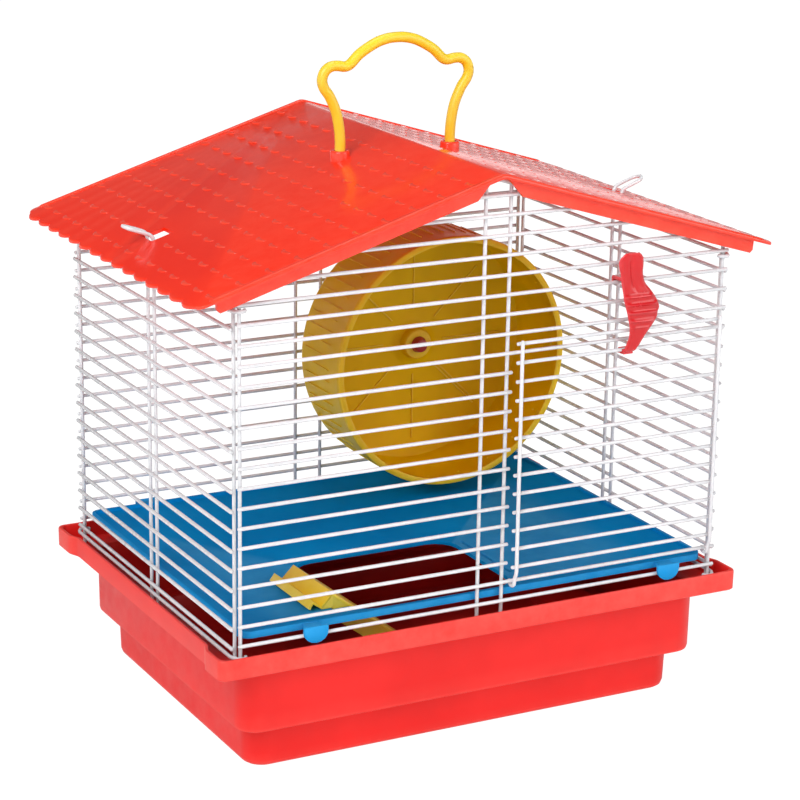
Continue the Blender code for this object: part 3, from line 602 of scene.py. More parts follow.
# ----------------------------------------
# Tray
# ----------------------------------------
@dataclass
class Tray:
    """Stepped tray, drawn in one skin from its foot to its rolled rim and back down inside."""

    wall: float = 2.0 * MM
    foot_x: float = 125.0 * MM
    foot_y: float = 91.0 * MM
    body_x: float = 133.0 * MM
    body_y: float = 101.0 * MM
    rim_x: float = 146.7 * MM
    rim_y: float = 111.0 * MM
    step_z: float = 23.5 * MM
    flange_z: float = 58.7 * MM
    top_z: float = 69.6 * MM
    corner: float = 12 * MM
    ear: float = 2.8 * MM
    ear_from: float = 91 * MM
    ear_turn: float = 4 * MM
    corner_steps: int = 11
    soft: float = 1.4 * MM

    def rim(self, inset: float) -> Outline:
        """Outline of the rim, with the corner ears on its short sides.

        Args:
            inset: How far inside the rim's outer face it runs.

        Returns:
            Points anticlockwise from the right side.
        """
        out_x, side_x, y = self.rim_x + self.ear - inset, self.rim_x - inset, self.rim_y - inset
        turn, start = self.ear_turn, self.ear_from
        s_curve = [(side_x, start - 6 * MM), (side_x + self.ear * 0.12, start - 4 * MM),
                   (side_x + self.ear * 0.5, start - 1.5 * MM),
                   (side_x + self.ear * 0.88, start + 1 * MM), (out_x, start + 3 * MM)]
        quarter = s_curve + corner_arc((out_x - turn, y - turn), turn, 0, 90, 6)
        outline: Outline = []
        for sign_x, sign_y in ((1, 1), (-1, 1), (-1, -1), (1, -1)):
            points = [(sign_x * a, sign_y * b) for a, b in quarter]
            outline += points if sign_x * sign_y > 0 else points[::-1]
        return outline

    def ring(self, half_x: float, half_y: float, radius: float) -> Outline:
        """Outline of the foot or the body, with as many points as the rim has.

        Args:
            half_x: Half its width.
            half_y: Half its depth.
            radius: Corner radius.

        Returns:
            Points anticlockwise from the right side.
        """
        outline: Outline = []
        for sign_x, sign_y, start in ((1, 1, 0), (-1, 1, 90), (-1, -1, 180), (1, -1, 270)):
            corner = (sign_x * (half_x - radius), sign_y * (half_y - radius))
            outline += corner_arc(corner, radius, start, start + 90, self.corner_steps)
        return outline

    def build(self) -> None:
        """Build the tray."""
        bm = bmesh.new()
        w, r, soft = self.wall, self.corner, self.soft
        ring, rim = self.ring, self.rim
        fx, fy, bx, by = self.foot_x, self.foot_y, self.body_x, self.body_y
        rings: list[tuple[Outline, float]] = [
            (ring(fx - 5 * MM, fy - 5 * MM, r - 5 * MM), 0.0),
            (ring(fx - 3.2 * MM, fy - 3.2 * MM, r - 3.2 * MM), 0.25 * MM),
            (ring(fx - 1.6 * MM, fy - 1.6 * MM, r - 1.6 * MM), 1.3 * MM),
            (ring(fx - 0.7 * MM, fy - 0.7 * MM, r - 0.7 * MM), 3.6 * MM),
            (ring(fx, fy, r), self.step_z - 1.0 * MM),
            (ring(fx + 0.4 * MM, fy + 0.4 * MM, r), self.step_z - 0.3 * MM),
            (ring(bx - 2.4 * MM, by - 2.4 * MM, r - 2.4 * MM), self.step_z - 0.1 * MM),
            (ring(bx - 0.9 * MM, by - 0.9 * MM, r - 0.9 * MM), self.step_z + 0.7 * MM),
            (ring(bx - 0.3 * MM, by - 0.3 * MM, r), self.step_z + 2.4 * MM),
            (ring(bx, by, r), self.flange_z - 2.2 * MM),
            (ring(bx + 0.6 * MM, by + 0.6 * MM, r), self.flange_z - 0.7 * MM),
            (ring(bx + 2.2 * MM, by + 2.2 * MM, r), self.flange_z),
            (rim(0.7 * MM), self.flange_z),
            (rim(0.1 * MM), self.flange_z + 0.6 * MM),
            (rim(0), self.top_z - 0.9 * MM),
            (rim(0.3 * MM), self.top_z - 0.2 * MM),
            (rim(1.0 * MM), self.top_z),
            (rim(w - 0.3 * MM), self.top_z - 0.2 * MM),
            (rim(w), self.top_z - 0.9 * MM),
            (rim(w), self.flange_z + w + 0.5 * MM),
            (rim(w + 0.6 * MM), self.flange_z + w),
            (ring(bx, by, r), self.flange_z + w),
            (ring(bx - w, by - w, r - w), self.flange_z + w - soft),
            (ring(bx - w, by - w, r - w), self.step_z + w + soft),
            (ring(bx - w - soft, by - w - soft, r - w - soft), self.step_z + w),
            (ring(fx - w + 0.6 * MM, fy - w + 0.6 * MM, r - w), self.step_z + w),
            (ring(fx - w, fy - w, r - w), self.step_z + w - 0.8 * MM),
            (ring(fx - w - 0.6 * MM, fy - w - 0.6 * MM, r - w - 0.6 * MM), 4.5 * MM),
            (ring(fx - w - 3 * MM, fy - w - 3 * MM, r - w - 3 * MM), w),
        ]
        loft(bm, rings)
        finish_mesh(bm, "tray_shell", TRAY_RED, "tray", "base_tray", smooth=40)


# ----------------------------------------
# Roof and handle
# ----------------------------------------
@dataclass
class Roof:
    """Gabled sheet with scalloped eaves, rows of raised tile marks, a fascia and a front bead."""

    ridge: float = ROOF_RIDGE
    slope: float = ROOF_SLOPE
    wall: float = 1.8 * MM
    half_y: float = 114.0 * MM
    eave_x: float = 163.0 * MM
    scallop: float = 2.8 * MM
    scallops: int = 15
    corner: float = 4.5 * MM
    fascia_y: float = 108.2 * MM
    fascia_drop: float = 8.6 * MM
    rows: int = 10
    first_row: float = 14.4 * MM
    row_pitch: float = 15.1 * MM
    marks: int = 16
    mark_pitch: float = 14.2 * MM
    band: float = 3.6 * MM
    # The sheet is cut here along the ridge, and flat up to ridge_flat, so that its fold looks soft.
    ridge_cuts: tuple[float, ...] = (-2.4 * MM, -0.8 * MM, 0.8 * MM, 2.4 * MM)
    ridge_flat: float = 1.2 * MM
    edge_round: float = 0.5 * MM
    # Edges that turn by more than this, in radians, are the sheet's rim.
    rim_turn: float = 1.2
    # Marks are left out this far round the handle's collars, and along the hairpins' slots.
    clear: float = 9 * MM
    collar_x: float = 29 * MM
    slot_rows: tuple[float, float] = (118 * MM, 142 * MM)
    slot_size: XYZ = (11.6 * MM, 11.6 * MM, 20 * MM)
    slot_x: float = 132.9 * MM
    slot_z: float = 253 * MM

    def top(self, x: float) -> float:
        """Height of the sheet's upper face."""
        return self.ridge - abs(x) * self.slope

    def outline(self) -> Outline:
        """Sheet seen from above, anticlockwise from the front right."""
        base = self.eave_x - self.scallop
        run = 2 * (self.half_y - self.corner)
        edge = corner_arc((base - self.corner, -self.half_y + self.corner), self.corner, -90, 0, 6)
        for index in range(self.scallops):
            for step in range(1, 7):
                bulge = math.sin(math.pi * step / 6) ** 0.8 * self.scallop if step < 6 else 0.0
                y = -self.half_y + self.corner + (index + step / 6) * run / self.scallops
                edge.append((base + bulge, y))
        edge += corner_arc((base - self.corner, self.half_y - self.corner), self.corner, 0, 90, 6)[1:]
        return edge + [(-x, y) for x, y in edge[::-1]]

    def sheet(self) -> BMesh:
        """Build the folded sheet with its soft edges."""
        bm = bmesh.new()
        slab(bm, [(x, y, self.ridge - self.wall) for x, y in self.outline()], (0, 0, self.wall))
        rim = [e for e in bm.edges if len(e.link_faces) == 2 and e.calc_face_angle(0.0) > self.rim_turn
               and abs(e.verts[0].co.z - e.verts[1].co.z) < 1e-7]
        bmesh.ops.bevel(bm, geom=rim, offset=self.edge_round, affect="EDGES", segments=2, profile=0.5,
                        material=-1)
        for x in self.ridge_cuts:
            bmesh.ops.bisect_plane(bm, geom=[*bm.verts, *bm.edges, *bm.faces], plane_co=(x, 0, 0),
                                   plane_no=(1, 0, 0))
        for vert in bm.verts:
            vert.co.z -= max(abs(vert.co.x), self.ridge_flat) * self.slope
        return bm

    def tile_marks(self) -> BMesh:
        """Build the rows of raised crescents, like the ends of round tiles."""
        bm = bmesh.new()
        for side in (-1, 1):
            for row in range(self.rows):
                x_row = self.first_row + row * self.row_pitch
                for index in range(self.marks):
                    y = (index - (self.marks - 1) / 2) * self.mark_pitch
                    on_handle = abs(y) < self.clear and abs(x_row - self.collar_x) < self.clear
                    on_slot = abs(y) < self.clear and self.slot_rows[0] < x_row < self.slot_rows[1]
                    if not (on_handle or on_slot):
                        self.crescent(bm, side, x_row, y)
        return bm

    def crescent(self, bm: BMesh, side: int, x: float, y: float) -> None:
        """Add one crescent that opens towards the ridge: a long ramp with a short steep riser.

        Args:
            bm: The mesh to add to.
            side: Slope that it is on.
            x: Distance of its tips from the ridge.
            y: Place along the ridge.
        """
        steps = 8
        half, sag, width, rise = self.mark_pitch * 0.30, 2.6 * MM, 2.6 * MM, 0.40 * MM
        rows: tuple[list[BMVert], ...] = ([], [], [], [])
        for step in range(steps + 1):
            turn = math.pi * step / steps
            bow = math.sin(turn) * sag
            swell = math.sin(turn) ** 0.6
            for group, reach, lift in zip(rows, (-width, -0.25 * MM, 0.12 * MM, 0.45 * MM),
                                          (-0.1 * MM, rise, rise * 0.85, -0.1 * MM)):
                px = x + bow + reach * swell
                py = y - math.cos(turn) * (half + min(reach, 0) * 0.25 * swell)
                group.append(bm.verts.new((side * px, py, self.top(px) + lift * swell)))
        for a in range(steps):
            for near, far in zip(rows, rows[1:] + rows[:1]):
                bm.faces.new([near[a], near[a + 1], far[a + 1], far[a]])

    def fascia(self) -> BMesh:
        """Build the four fascia boards, with a soft lower edge."""
        bm = bmesh.new()
        near, far = 3.5 * MM, 150 * MM
        sink, drop = 0.9 * MM, self.fascia_drop
        outline = [(near, self.top(near) - sink), (far, self.top(far) - sink),
                   (far - 0.6 * MM, self.top(far) - drop + 2 * MM),
                   (far - 2.2 * MM, self.top(far) - drop + 0.6 * MM),
                   (near + 9 * MM, self.top(near + 9 * MM) - drop)]
        for side in (-1, 1):
            for end in (-1, 1):
                slab(bm, [(side * x, end * self.fascia_y, z) for x, z in outline], (0, end * self.wall, 0))
        return bm

    def gable_band(self) -> BMesh:
        """Build the raised band along each gable edge, with a bead on its inner side."""
        bm = bmesh.new()
        far = self.eave_x - 9 * MM
        stations = [-far, -far + 1.2 * MM, -60 * MM, *self.ridge_cuts, 60 * MM, far - 1.2 * MM, far]
        for end in (-1, 1):
            outer = end * (self.half_y - 0.5 * MM)
            inner = end * (self.half_y - self.band)
            profile = [(outer, -0.2 * MM), (outer - end * 0.25 * MM, 0.45 * MM),
                       (outer - end * 0.8 * MM, 0.7 * MM), (inner + end * 0.8 * MM, 0.7 * MM),
                       (inner + end * 0.2 * MM, 0.4 * MM), (inner, -0.2 * MM)]
            rings = []
            for x in stations:
                fade = 0.25 if abs(x) == far else 1.0
                z = self.ridge - max(abs(x), self.ridge_flat) * self.slope
                rings.append([bm.verts.new((x, y, z + lift * fade)) for y, lift in profile])
            for near, next_ring in zip(rings, rings[1:]):
                for k in range(len(profile)):
                    m = (k + 1) % len(profile)
                    bm.faces.new([near[k], near[m], next_ring[m], next_ring[k]])
            bm.faces.new(rings[0])
            bm.faces.new(rings[-1])
        return bm

    def build(self) -> None:
        """Build the roof's pieces and cut its hook slots."""
        sheet = finish_mesh(self.sheet(), "roof_sheet", ROOF_RED, "roof", "roof", smooth=35)
        self.cut_slots(sheet)
        finish_mesh(self.tile_marks(), "roof_tile_marks", ROOF_RED, "roof", smooth=50)
        finish_mesh(self.fascia(), "roof_fascia", ROOF_RED, "roof", smooth=35)
        finish_mesh(self.gable_band(), "roof_gable_band", ROOF_RED, "roof", smooth=60)

    def cut_slots(self, sheet: bpy.types.Object) -> None:
        """Cut the two slots that the hairpins come through.

        Args:
            sheet: The roof's sheet.
        """
        bm = bmesh.new()
        for side in (-1, 1):
            size = Matrix.Diagonal((*self.slot_size, 1))
            centre = Matrix.Translation((side * self.slot_x, 0, self.slot_z))
            bmesh.ops.create_cube(bm, size=1.0, matrix=centre @ size)
        mesh = bpy.data.meshes.new("slot_tool")
        bm.to_mesh(mesh)
        bm.free()
        tool = bpy.data.objects.new("slot_tool", mesh)
        bpy.context.scene.collection.objects.link(tool)
        mod = sheet.modifiers.new("slots", "BOOLEAN")
        mod.object = tool
        mod.solver = "EXACT"
        depsgraph = bpy.context.evaluated_depsgraph_get()
        cut = bpy.data.meshes.new_from_object(sheet.evaluated_get(depsgraph))
        sheet.modifiers.clear()
        sheet.data = cut
        bpy.data.objects.remove(tool)


@dataclass
class Handle:
    """Bent carrying handle and the two collars that it stands in."""

    rod_r: float = 2.72 * MM
    foot_x: float = 32 * MM
    ridge: float = ROOF_RIDGE
    # Right half of the rod's centre line in millimetres, from its foot to the middle.
    half: Outline = field(default_factory=lambda: [
        (32.0, 289.2), (32.0, 294.0), (32.6, 301.0), (34.4, 309.5), (38.0, 317.5), (41.2, 322.0),
        (42.4, 326.2), (41.0, 330.4), (37.6, 332.8), (33.4, 333.0), (29.6, 332.4), (26.4, 333.6),
        (22.0, 337.8), (17.0, 341.0), (11.0, 343.9), (5.0, 345.4), (0.0, 345.7)])

    def build(self) -> None:
        """Build the rod and both collars."""
        bm = bmesh.new()
        points = [(-x * MM, 0.0, z * MM) for x, z in self.half]
        points += [(x * MM, 0.0, z * MM) for x, z in reversed(self.half[:-1])]
        sweep(bm, smooth_route(points, 4), self.rod_r, 16)
        finish_mesh(bm, "handle_rod", HANDLE_YELLOW, "roof", "handle", smooth=60)
        for side, word in ((-1, "left"), (1, "right")):
            self.collar(side, word)

    def collar(self, side: int, word: str) -> None:
        """Build one collar: a short cup with a soft foot and a bored mouth.

        Args:
            side: -1 for the left, +1 for the right.
            word: The side's name.
        """
        bm = bmesh.new()
        base = self.ridge - self.foot_x * ROOF_SLOPE
        profile = [(5.1, -3.0), (5.1, 3.1), (4.9, 3.8), (4.4, 4.1), (3.6, 4.1), (3.1, 3.8), (3.0, 3.2),
                   (0.0, 3.2)]
        turned(bm, profile, (0, 0, 1), 32)
        for vert in bm.verts:
            if vert.co.z < 0:
                vert.co.z -= vert.co.x * side * ROOF_SLOPE
        bmesh.ops.contextual_create(bm, geom=[e for e in bm.edges if e.is_boundary])
        bmesh.ops.translate(bm, verts=bm.verts, vec=(side * self.foot_x, 0, base))
        finish_mesh(bm, f"handle_cup_{word}", ROOF_RED, "roof", f"handle_collar_{word}", smooth=45)


# ----------------------------------------
# Wheel, latch, ramp and softened parts
# ----------------------------------------
@dataclass
class Wheel:
    """Running wheel: ribbed disc, treaded drum and a rolled rim with dimples."""

    x: float = 58 * MM
    z: float = 157 * MM
    radius: float = 71 * MM
    front: float = 38 * MM
    back: float = 89 * MM
    ribs: int = 8
    treads: int = 64
    dimples: int = 22
    # Depth behind the rim and size of the beads in each pair of dimples.
    beads: tuple[tuple[float, float], ...] = ((3.6 * MM, 1.1 * MM), (9.5 * MM, 0.8 * MM))
    rib_size: XYZ = (38 * MM, 1.0 * MM, 0.8 * MM)
    rib_x: float = 38 * MM
    rib_gap: float = 0.9 * MM
    tread_wide: float = 0.7 * MM
    tread_high: float = 0.55 * MM
    tread_sink: float = 0.45 * MM
    tread_front: float = 14 * MM
    tread_short: float = 22 * MM
    rib_sink: float = 3.2 * MM
    rib_round: float = 0.2 * MM
    bead_sink: float = 2.5 * MM
    bead_flat: float = 0.5

    def drum(self) -> BMesh:
        """Build the turned shell of the wheel."""
        bm = bmesh.new()
        r, f, b = self.radius / MM, self.front / MM, self.back / MM
        profile = [
            (3.3, b), (11.0, b), (12.5, b - 0.4), (14.0, b - 1.2), (r - 5.0, b - 1.2), (r - 2.6, b - 1.7),
            (r - 1.0, b - 3.2), (r - 0.6, b - 5.0), (r - 0.5, f + 4.0), (r - 0.1, f + 3.0), (r, f + 1.6),
            (r - 0.3, f + 0.4), (r - 1.2, f), (r - 2.6, f), (r - 3.6, f + 0.5), (r - 3.4, f + 1.6),
            (r - 2.5, f + 3.4), (r - 2.4, b - 5.4), (r - 3.0, b - 4.0), (r - 5.0, b - 3.0), (15.0, b - 3.0),
            (12.5, b - 3.4), (9.4, b - 5.4), (8.7, b - 8.8), (8.0, b - 9.8), (4.2, b - 10.0), (3.3, b - 9.4)]
        turned(bm, profile, (0, 1, 0), 96, closed=True)
        return bm

    def block(self, bm: BMesh, angle: float, centre: XYZ,
              size: XYZ) -> list[BMVert]:
        """Add a block, turned about the wheel's axis.

        Args:
            bm: The mesh to add to.
            angle: Its turn.
            centre: Its middle before the turn.
            size: Its size along X, Y and Z before the turn.

        Returns:
            Its corners.
        """
        place = Matrix.Rotation(angle, 4, "Y") @ Matrix.Translation(centre) @ Matrix.Diagonal((*size, 1))
        return bmesh.ops.create_cube(bm, size=1.0, matrix=place)["verts"]

    def details(self) -> BMesh:
        """Build the disc's ribs, the drum's treads and the rim's dimples."""
        bm = bmesh.new()
        face = self.back - self.rib_sink
        for index in range(self.ribs):
            for shift in (-self.rib_gap, self.rib_gap) if index == 1 else (0.0,):
                made = self.block(bm, math.tau * index / self.ribs, (self.rib_x, face, shift), self.rib_size)
                edges = {e for v in made for e in v.link_edges}
                bmesh.ops.bevel(bm, geom=list(edges), offset=self.rib_round, affect="EDGES", segments=2,
                                profile=0.5, material=-1)
        length = self.back - self.front - self.tread_short
        middle = (self.radius - self.tread_sink, self.front + self.tread_front + length / 2, 0)
        for index in range(self.treads):
            self.block(bm, math.tau * index / self.treads, middle, (self.tread_wide, length, self.tread_high))
        flat = Matrix.Diagonal((self.bead_flat, 1, 1, 1))
        for index in range(self.dimples):
            turn = Matrix.Rotation(math.tau * index / self.dimples, 4, "Y")
            for depth, size in self.beads:
                bead = Matrix.Translation((self.radius - self.bead_sink, self.front + depth, 0))
                bmesh.ops.create_icosphere(bm, subdivisions=2, radius=size, matrix=turn @ bead @ flat)
        return bm

    def build(self) -> None:
        """Build the wheel and the head of its axle."""
        for bm, name, nodes in ((self.drum(), "wheel_drum", ("wheel",)), (self.details(), "wheel_ribs", ())):
            bmesh.ops.translate(bm, verts=bm.verts, vec=(self.x, 0, self.z))
            finish_mesh(bm, name, WHEEL_YELLOW, "wheel", *nodes, smooth=40)
        self.cap()

    def cap(self) -> None:
        """Build the axle's domed head, which holds the wheel on."""
        bm = bmesh.new()
        front = self.back / MM - 10.3
        profile = [(0.0, front - 1.5), (2.4, front - 1.4), (3.9, front - 1.0), (4.6, front - 0.5),
                   (4.7, front - 0.1), (0.0, front - 0.1)]
        turned(bm, profile, (0, 1, 0), 32)
        bmesh.ops.translate(bm, verts=bm.verts, vec=(self.x, 0, self.z))
        finish_mesh(bm, "axle_head", AXLE_RED, "cage", smooth=50)


@dataclass
class Latch:
    """Moulded latch: a spoon-shaped paddle with a groove, a ribbed grip and a foot that curls in."""

    shell: float = 1.6 * MM
    columns: int = 24
    rows: int = 76
    foot_rows: int = 8
    left: float = 69.6 * MM
    claw_wide: float = 7.6 * MM
    lip_left: float = 73.6 * MM
    lip_wide: float = 5.4 * MM
    # Where the dished paddle starts and the ridged grip lies, in millimetres of height.
    paddle_low: float = 228.0
    fade: float = 5.0
    grip: tuple[float, float] = (210.0, 229.0)
    top_ridge: float = 227.0
    ridge_pitch: float = 4.3
    # Relief of the face in millimetres.
    shoulder: float = 1.1
    groove: float = 0.75
    rim: float = 0.35
    ridge: float = 1.15
    # Where the rim and the groove lie across the paddle and how wide they are, as shares of half of it.
    rim_at: float = 0.80
    rim_wide: float = 0.16
    groove_at: float = -0.08
    groove_wide: float = 0.10
    # Height, left and right edge, and depth of the face, in millimetres, from the foot to the top.
    stations: list[tuple[float, float, float, float]] = field(default_factory=lambda: [
        (197.6, 73.4, 80.2, -110.4), (198.6, 73.2, 80.4, -111.6), (201.0, 73.8, 82.0, -112.2),
        (205.4, 75.2, 84.6, -112.6), (210.0, 75.4, 88.0, -112.9), (214.5, 74.4, 91.0, -113.1),
        (218.0, 73.4, 91.6, -113.3), (220.4, 72.6, 92.2, -113.4), (224.9, 71.2, 90.2, -113.4),
        (229.0, 70.5, 87.2, -113.2), (233.4, 69.7, 83.6, -112.7), (238.0, 69.1, 82.2, -112.6),
        (242.4, 67.8, 82.1, -112.9), (245.0, 67.3, 81.9, -113.2), (247.0, 67.9, 81.2, -113.5),
        (248.6, 69.2, 80.0, -113.8), (249.7, 71.0, 78.4, -113.9)])

    def face_depth(self, across: float, height: float, depth: float) -> float:
        """Place of the face at a point of the paddle.

        Args:
            across: From -1 at the left edge to 1 at the right edge.
            height: Height in millimetres.
            depth: Depth of the middle of the face in millimetres.

        Returns:
            The depth in millimetres: dished paddle with a groove, ridged grip, round shoulders.
        """
        sunk = self.shoulder * abs(across) ** 5
        dish = 0.0
        if height > self.paddle_low:
            top = self.stations[-1][0]
            fade = min((height - self.paddle_low) / self.fade, (top - height) / self.fade, 1.0)
            rim = math.exp(-((abs(across) - self.rim_at) / self.rim_wide) ** 2)
            groove = math.exp(-((across - self.groove_at) / self.groove_wide) ** 2)
            dish = max(fade, 0.0) * (self.groove * groove - self.rim * rim)
        ridge = 0.0
        if self.grip[0] < height < self.grip[1]:
            wave = max(math.cos((height - self.top_ridge) * math.tau / self.ridge_pitch), 0.0)
            ridge = -self.ridge * wave ** 1.5 * (1 - abs(across) ** 6)
        return depth + sunk + dish + ridge

    def station(self, height: float) -> tuple[float, float, float]:
        """Find the latch's section at a height, on a smooth curve through the stations.

        Args:
            height: Height in millimetres.

        Returns:
            Left edge, right edge and depth in millimetres.
        """
        knots = self.stations
        k = next((i for i in range(len(knots) - 1) if height <= knots[i + 1][0]), len(knots) - 2)
        a, b, c, d = knots[max(k - 1, 0)], knots[k], knots[k + 1], knots[min(k + 2, len(knots) - 1)]
        t = min(max((height - b[0]) / (c[0] - b[0]), 0.0), 1.0)
        around = zip(a[1:], b[1:], c[1:], d[1:])
        return tuple(0.5 * (2 * q + (r - p) * t + (2 * p - 5 * q + 4 * r - w) * t**2
                            + (3 * q - p - 3 * r + w) * t**3) for p, q, r, w in around)

    def build(self) -> None:
        """Build the curled foot, the grip and the paddle as one shell, then the claw and the lip."""
        bm = bmesh.new()
        low, high = self.stations[0][0], self.stations[-1][0]
        foot, flat = self.foot_rows, self.foot_rows // 2
        left, right, depth = self.station(low)
        front: list[list[BMVert]] = []
        for row in range(foot):
            turn = math.radians(90 * row / foot)
            y = depth + 5.2 * (1 - row / foot) if row < flat else depth + 2.6 * math.cos(turn)
            z = low - 0.6 + 1.2 * math.sin(turn) - (0.6 if row < flat else 0.4)
            front.append(self.row(bm, left - 0.3, right - 0.9 + 0.5 * row / foot, y, z, None))
        for row in range(self.rows + 1):
            height = low + 0.8 + (high - low - 0.8) * row / self.rows
            front.append(self.row(bm, *self.station(height), height, height))
        for near, far in zip(front, front[1:]):
            for a in range(self.columns):
                bm.faces.new([near[a], near[a + 1], far[a + 1], far[a]])
        bmesh.ops.recalc_face_normals(bm, faces=bm.faces)
        if sum(f.normal.y for f in bm.faces) > 0:
            bmesh.ops.reverse_faces(bm, faces=bm.faces)
        bmesh.ops.solidify(bm, geom=list(bm.faces), thickness=self.shell)
        self.claw(bm)
        self.catch(bm)
        finish_mesh(bm, "latch_paddle", LATCH_RED, "latch", "door_latch", smooth=50)

    def row(self, bm: BMesh, left: float, right: float, depth: float, z: float,
            height: float | None) -> list[BMVert]:
        """Add one row of points across the latch.

        Args:
            bm: The mesh to add to.
            left: Left edge in millimetres.
            right: Right edge in millimetres.
            depth: Depth in millimetres.
            z: Height of the row in millimetres.
            height: Height used for the face's relief, or None on the plain foot.

        Returns:
            The row's points.
        """
        made = []
        for column in range(self.columns + 1):
            across = -1 + 2 * column / self.columns
            x = left + (right - left) * (across + 1) / 2
            y = depth if height is None else self.face_depth(across, height, depth)
            made.append(bm.verts.new((x * MM, y * MM, z * MM)))
        return made

    def catch(self, bm: BMesh) -> None:
        """Add the upturned lip at the end of the foot."""
        outline = [(-110.0, 196.6), (-106.2, 196.4), (-104.9, 197.2), (-104.6, 199.2), (-105.6, 199.2),
                   (-106.2, 198.2), (-110.0, 198.0)]
        slab(bm, [(self.lip_left, y * MM, z * MM) for y, z in outline], (self.lip_wide, 0, 0))

    def claw(self, bm: BMesh) -> None:
        """Add the claw that reaches back over the wall bar."""
        # Radius of the wall bar with the room round it, and the places of the face and the bar, in mm.
        wire = 1.27
        face_y, bar_y, bar_z = -111.4, -105.5, 233.5
        outline = [(face_y, bar_z + wire + 0.4), (bar_y + wire + 0.4, bar_z + wire + 0.4),
                   (bar_y + wire + 0.4, bar_z - 0.8), (bar_y + wire + 1.6, bar_z - 1.0),
                   (bar_y + wire + 1.9, bar_z + wire + 0.8), (bar_y + wire + 1.0, bar_z + wire + 1.9),
                   (face_y, bar_z + wire + 2.4)]
        slab(bm, [(self.left, y * MM, z * MM) for y, z in outline], (self.claw_wide, 0, 0))


@dataclass
class RampCheeks:
    """Small gussets that close the ends of the ramp's fold over the shelf."""

    floor_z: float = 77.5 * MM
    fold_x: float = -83.4 * MM
    peak_x: float = -77.8 * MM
    peak_z: float = 83.6 * MM
    edge_x: float = -76.6 * MM
    thick: float = 1.3 * MM

    def build(self, low: Vector, high: Vector) -> None:
        """Build both gussets.

        Args:
            low: Lowest corner of the ramp's box.
            high: Highest corner of the ramp's box.
        """
        bm = bmesh.new()
        drop = (self.edge_x - self.peak_x) * 0.75
        outline = [(self.fold_x, self.floor_z), (self.edge_x, self.floor_z),
                   (self.edge_x, self.peak_z - drop), (self.peak_x, self.peak_z)]
        for y in (low.y + 0.15 * MM, high.y - 0.15 * MM - self.thick):
            slab(bm, [(x, y, z) for x, z in outline], (0, self.thick, 0))
        finish_mesh(bm, "ramp_gussets", HANDLE_YELLOW, "cage", smooth=30)


def soften(frame: dict, node: str, name: str, finish: Moulded, width: float = 0.25 * MM) -> None:
    """Add a copy of a CAD node on the cage, with its edges rounded as a moulding's are.

    Args:
        node: Name of the node.
        name: Name of the new piece.
        finish: Its finish.
        width: Size of the rounding.
    """
    weld, flat_turn, sharp_turn = 0.01 * MM, math.radians(2), math.radians(34)
    bm = bmesh.new()
    source = frame["nodes"][node]
    bm.from_mesh(source.data)
    bmesh.ops.transform(bm, matrix=source.matrix_world, verts=bm.verts)
    bmesh.ops.remove_doubles(bm, verts=bm.verts, dist=weld)
    bmesh.ops.dissolve_limit(bm, angle_limit=flat_turn, verts=bm.verts, edges=bm.edges)
    sharp = [e for e in bm.edges if len(e.link_faces) == 2 and e.calc_face_angle(0.0) > sharp_turn]
    bmesh.ops.bevel(bm, geom=sharp, offset=width, affect="EDGES", segments=2, profile=0.5, material=-1,
                    clamp_overlap=True)
    finish_mesh(bm, name, finish, "cage", node, smooth=40)


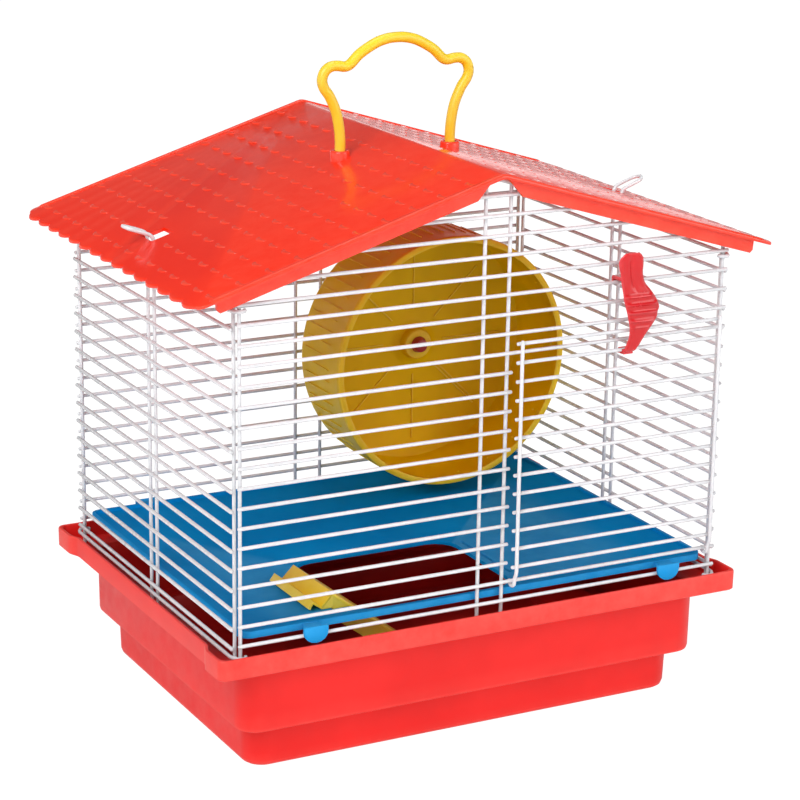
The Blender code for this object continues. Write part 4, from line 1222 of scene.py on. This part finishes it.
# ----------------------------------------
# Studio
# ----------------------------------------
@dataclass
class Studio:
    """Pale floor, large soft lights and the camera."""

    eye: XYZ = (-0.6210, -1.1809, 0.5460)
    azimuth: float = -27.92
    elevation: float = 16.43
    roll: float = 0.816
    lens: float = 117.8
    horizon: float = 1.5
    overhead: float = 0.14
    floor_half: float = 6.0
    floor_glow: float = 1.15
    aim: XYZ = (0, 0, 0.15)

    def floor(self) -> None:
        """Build the floor."""
        bm = bmesh.new()
        bmesh.ops.create_grid(bm, x_segments=2, y_segments=2, size=self.floor_half)
        mesh = bpy.data.meshes.new("studio_floor")
        bm.to_mesh(mesh)
        bm.free()
        obj = bpy.data.objects.new("studio_floor", mesh)
        bpy.context.scene.collection.objects.link(obj)
        mat = bpy.data.materials.new("matt_paper")
        mat.use_nodes = True
        tree = mat.node_tree
        shader = tree.nodes["Principled BSDF"]
        shader.inputs["Base Color"].default_value = srgb("FFFFFF")
        shader.inputs["Roughness"].default_value = 0.9
        # The sweep is lit from behind: the camera sees mostly its own glow.
        glow = add(tree, "Emission", Strength=self.floor_glow)
        seen = add(tree, "LightPath").outputs["Is Camera Ray"]
        share = add(tree, "Math", {"operation": "MULTIPLY"}, i0=seen, i1=0.86)
        both = add(tree, "MixShader", Fac=share.outputs[0], i1=shader.outputs[0], i2=glow.outputs[0])
        tree.links.new(both.outputs[0], tree.nodes["Material Output"].inputs["Surface"])
        mesh.materials.append(mat)

    def light(self, name: str, place: XYZ, size: float, power: float) -> None:
        """Add a soft square light that looks at the cage.

        Args:
            name: Its name.
            place: Its place.
            size: Its side.
            power: Its power in watts.
        """
        data = bpy.data.lights.new(name, "AREA")
        data.size = size
        data.energy = power
        obj = bpy.data.objects.new(name, data)
        obj.location = place
        aim = Vector(self.aim) - Vector(place)
        obj.rotation_euler = aim.to_track_quat("-Z", "Y").to_euler()
        bpy.context.scene.collection.objects.link(obj)

    def backdrop(self) -> None:
        """Build the white backdrop: bright at the horizon, dim overhead, and plain to the camera."""
        world = bpy.data.worlds.new("studio")
        world.use_nodes = True
        tree = world.node_tree
        way = add(tree, "TexCoord").outputs["Generated"]
        height = add(tree, "SeparateXYZ", Vector=way).outputs["Z"]
        glow = add(tree, "MapRange", Value=height, From_Min=0.04, From_Max=0.17, To_Min=self.horizon,
                   To_Max=self.overhead)
        seen = add(tree, "LightPath").outputs["Is Camera Ray"]
        strength = add(tree, "MapRange", Value=seen, To_Min=glow.outputs[0], To_Max=1.0)
        background = tree.nodes["Background"]
        background.inputs["Color"].default_value = (1, 1, 1, 1)
        tree.links.new(strength.outputs[0], background.inputs["Strength"])
        bpy.context.scene.world = world

    def build(self) -> None:
        """Set the floor, the lights, the backdrop's glow and the camera."""
        self.floor()
        self.light("key", (-1.7, -1.3, 1.7), 1.4, 50)
        self.light("fill", (1.6, -1.9, 1.1), 1.6, 26)
        self.light("top", (0.1, 0.1, 2.4), 1.3, 16)
        self.backdrop()
        bpy.context.scene.view_settings.view_transform = "Standard"
        camera = bpy.data.cameras.new("camera")
        camera.lens = self.lens
        camera.sensor_width = 36
        camera.clip_start = 0.01
        obj = bpy.data.objects.new("camera", camera)
        bpy.context.scene.collection.objects.link(obj)
        turn = (Matrix.Rotation(math.radians(self.azimuth), 4, "Z")
                @ Matrix.Rotation(math.radians(90 - self.elevation), 4, "X")
                @ Matrix.Rotation(math.radians(self.roll), 4, "Z"))
        obj.matrix_world = Matrix.Translation(self.eye) @ turn
        bpy.context.scene.camera = obj


def main() -> None:
    """Build the cage's looks."""
    logging.basicConfig(level=logging.INFO, format="%(message)s")
    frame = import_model()
    WireHouse().build()
    WireDoor().build()
    Tray().build()
    Roof().build()
    Handle().build()
    Wheel().build()
    Latch().build()
    soften(frame, "shelf", "shelf_floor", SHELF_BLUE)
    soften(frame, "ramp", "ramp_fold", HANDLE_YELLOW, 0.2 * MM)
    RampCheeks().build(*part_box("ramp"))
    soften(frame, "wheel_axle", "axle_stud", AXLE_RED)
    soften(frame, "wheel_bracket", "axle_bracket", AXLE_RED)
    Studio().build()


if __name__ == "__main__":
    main()
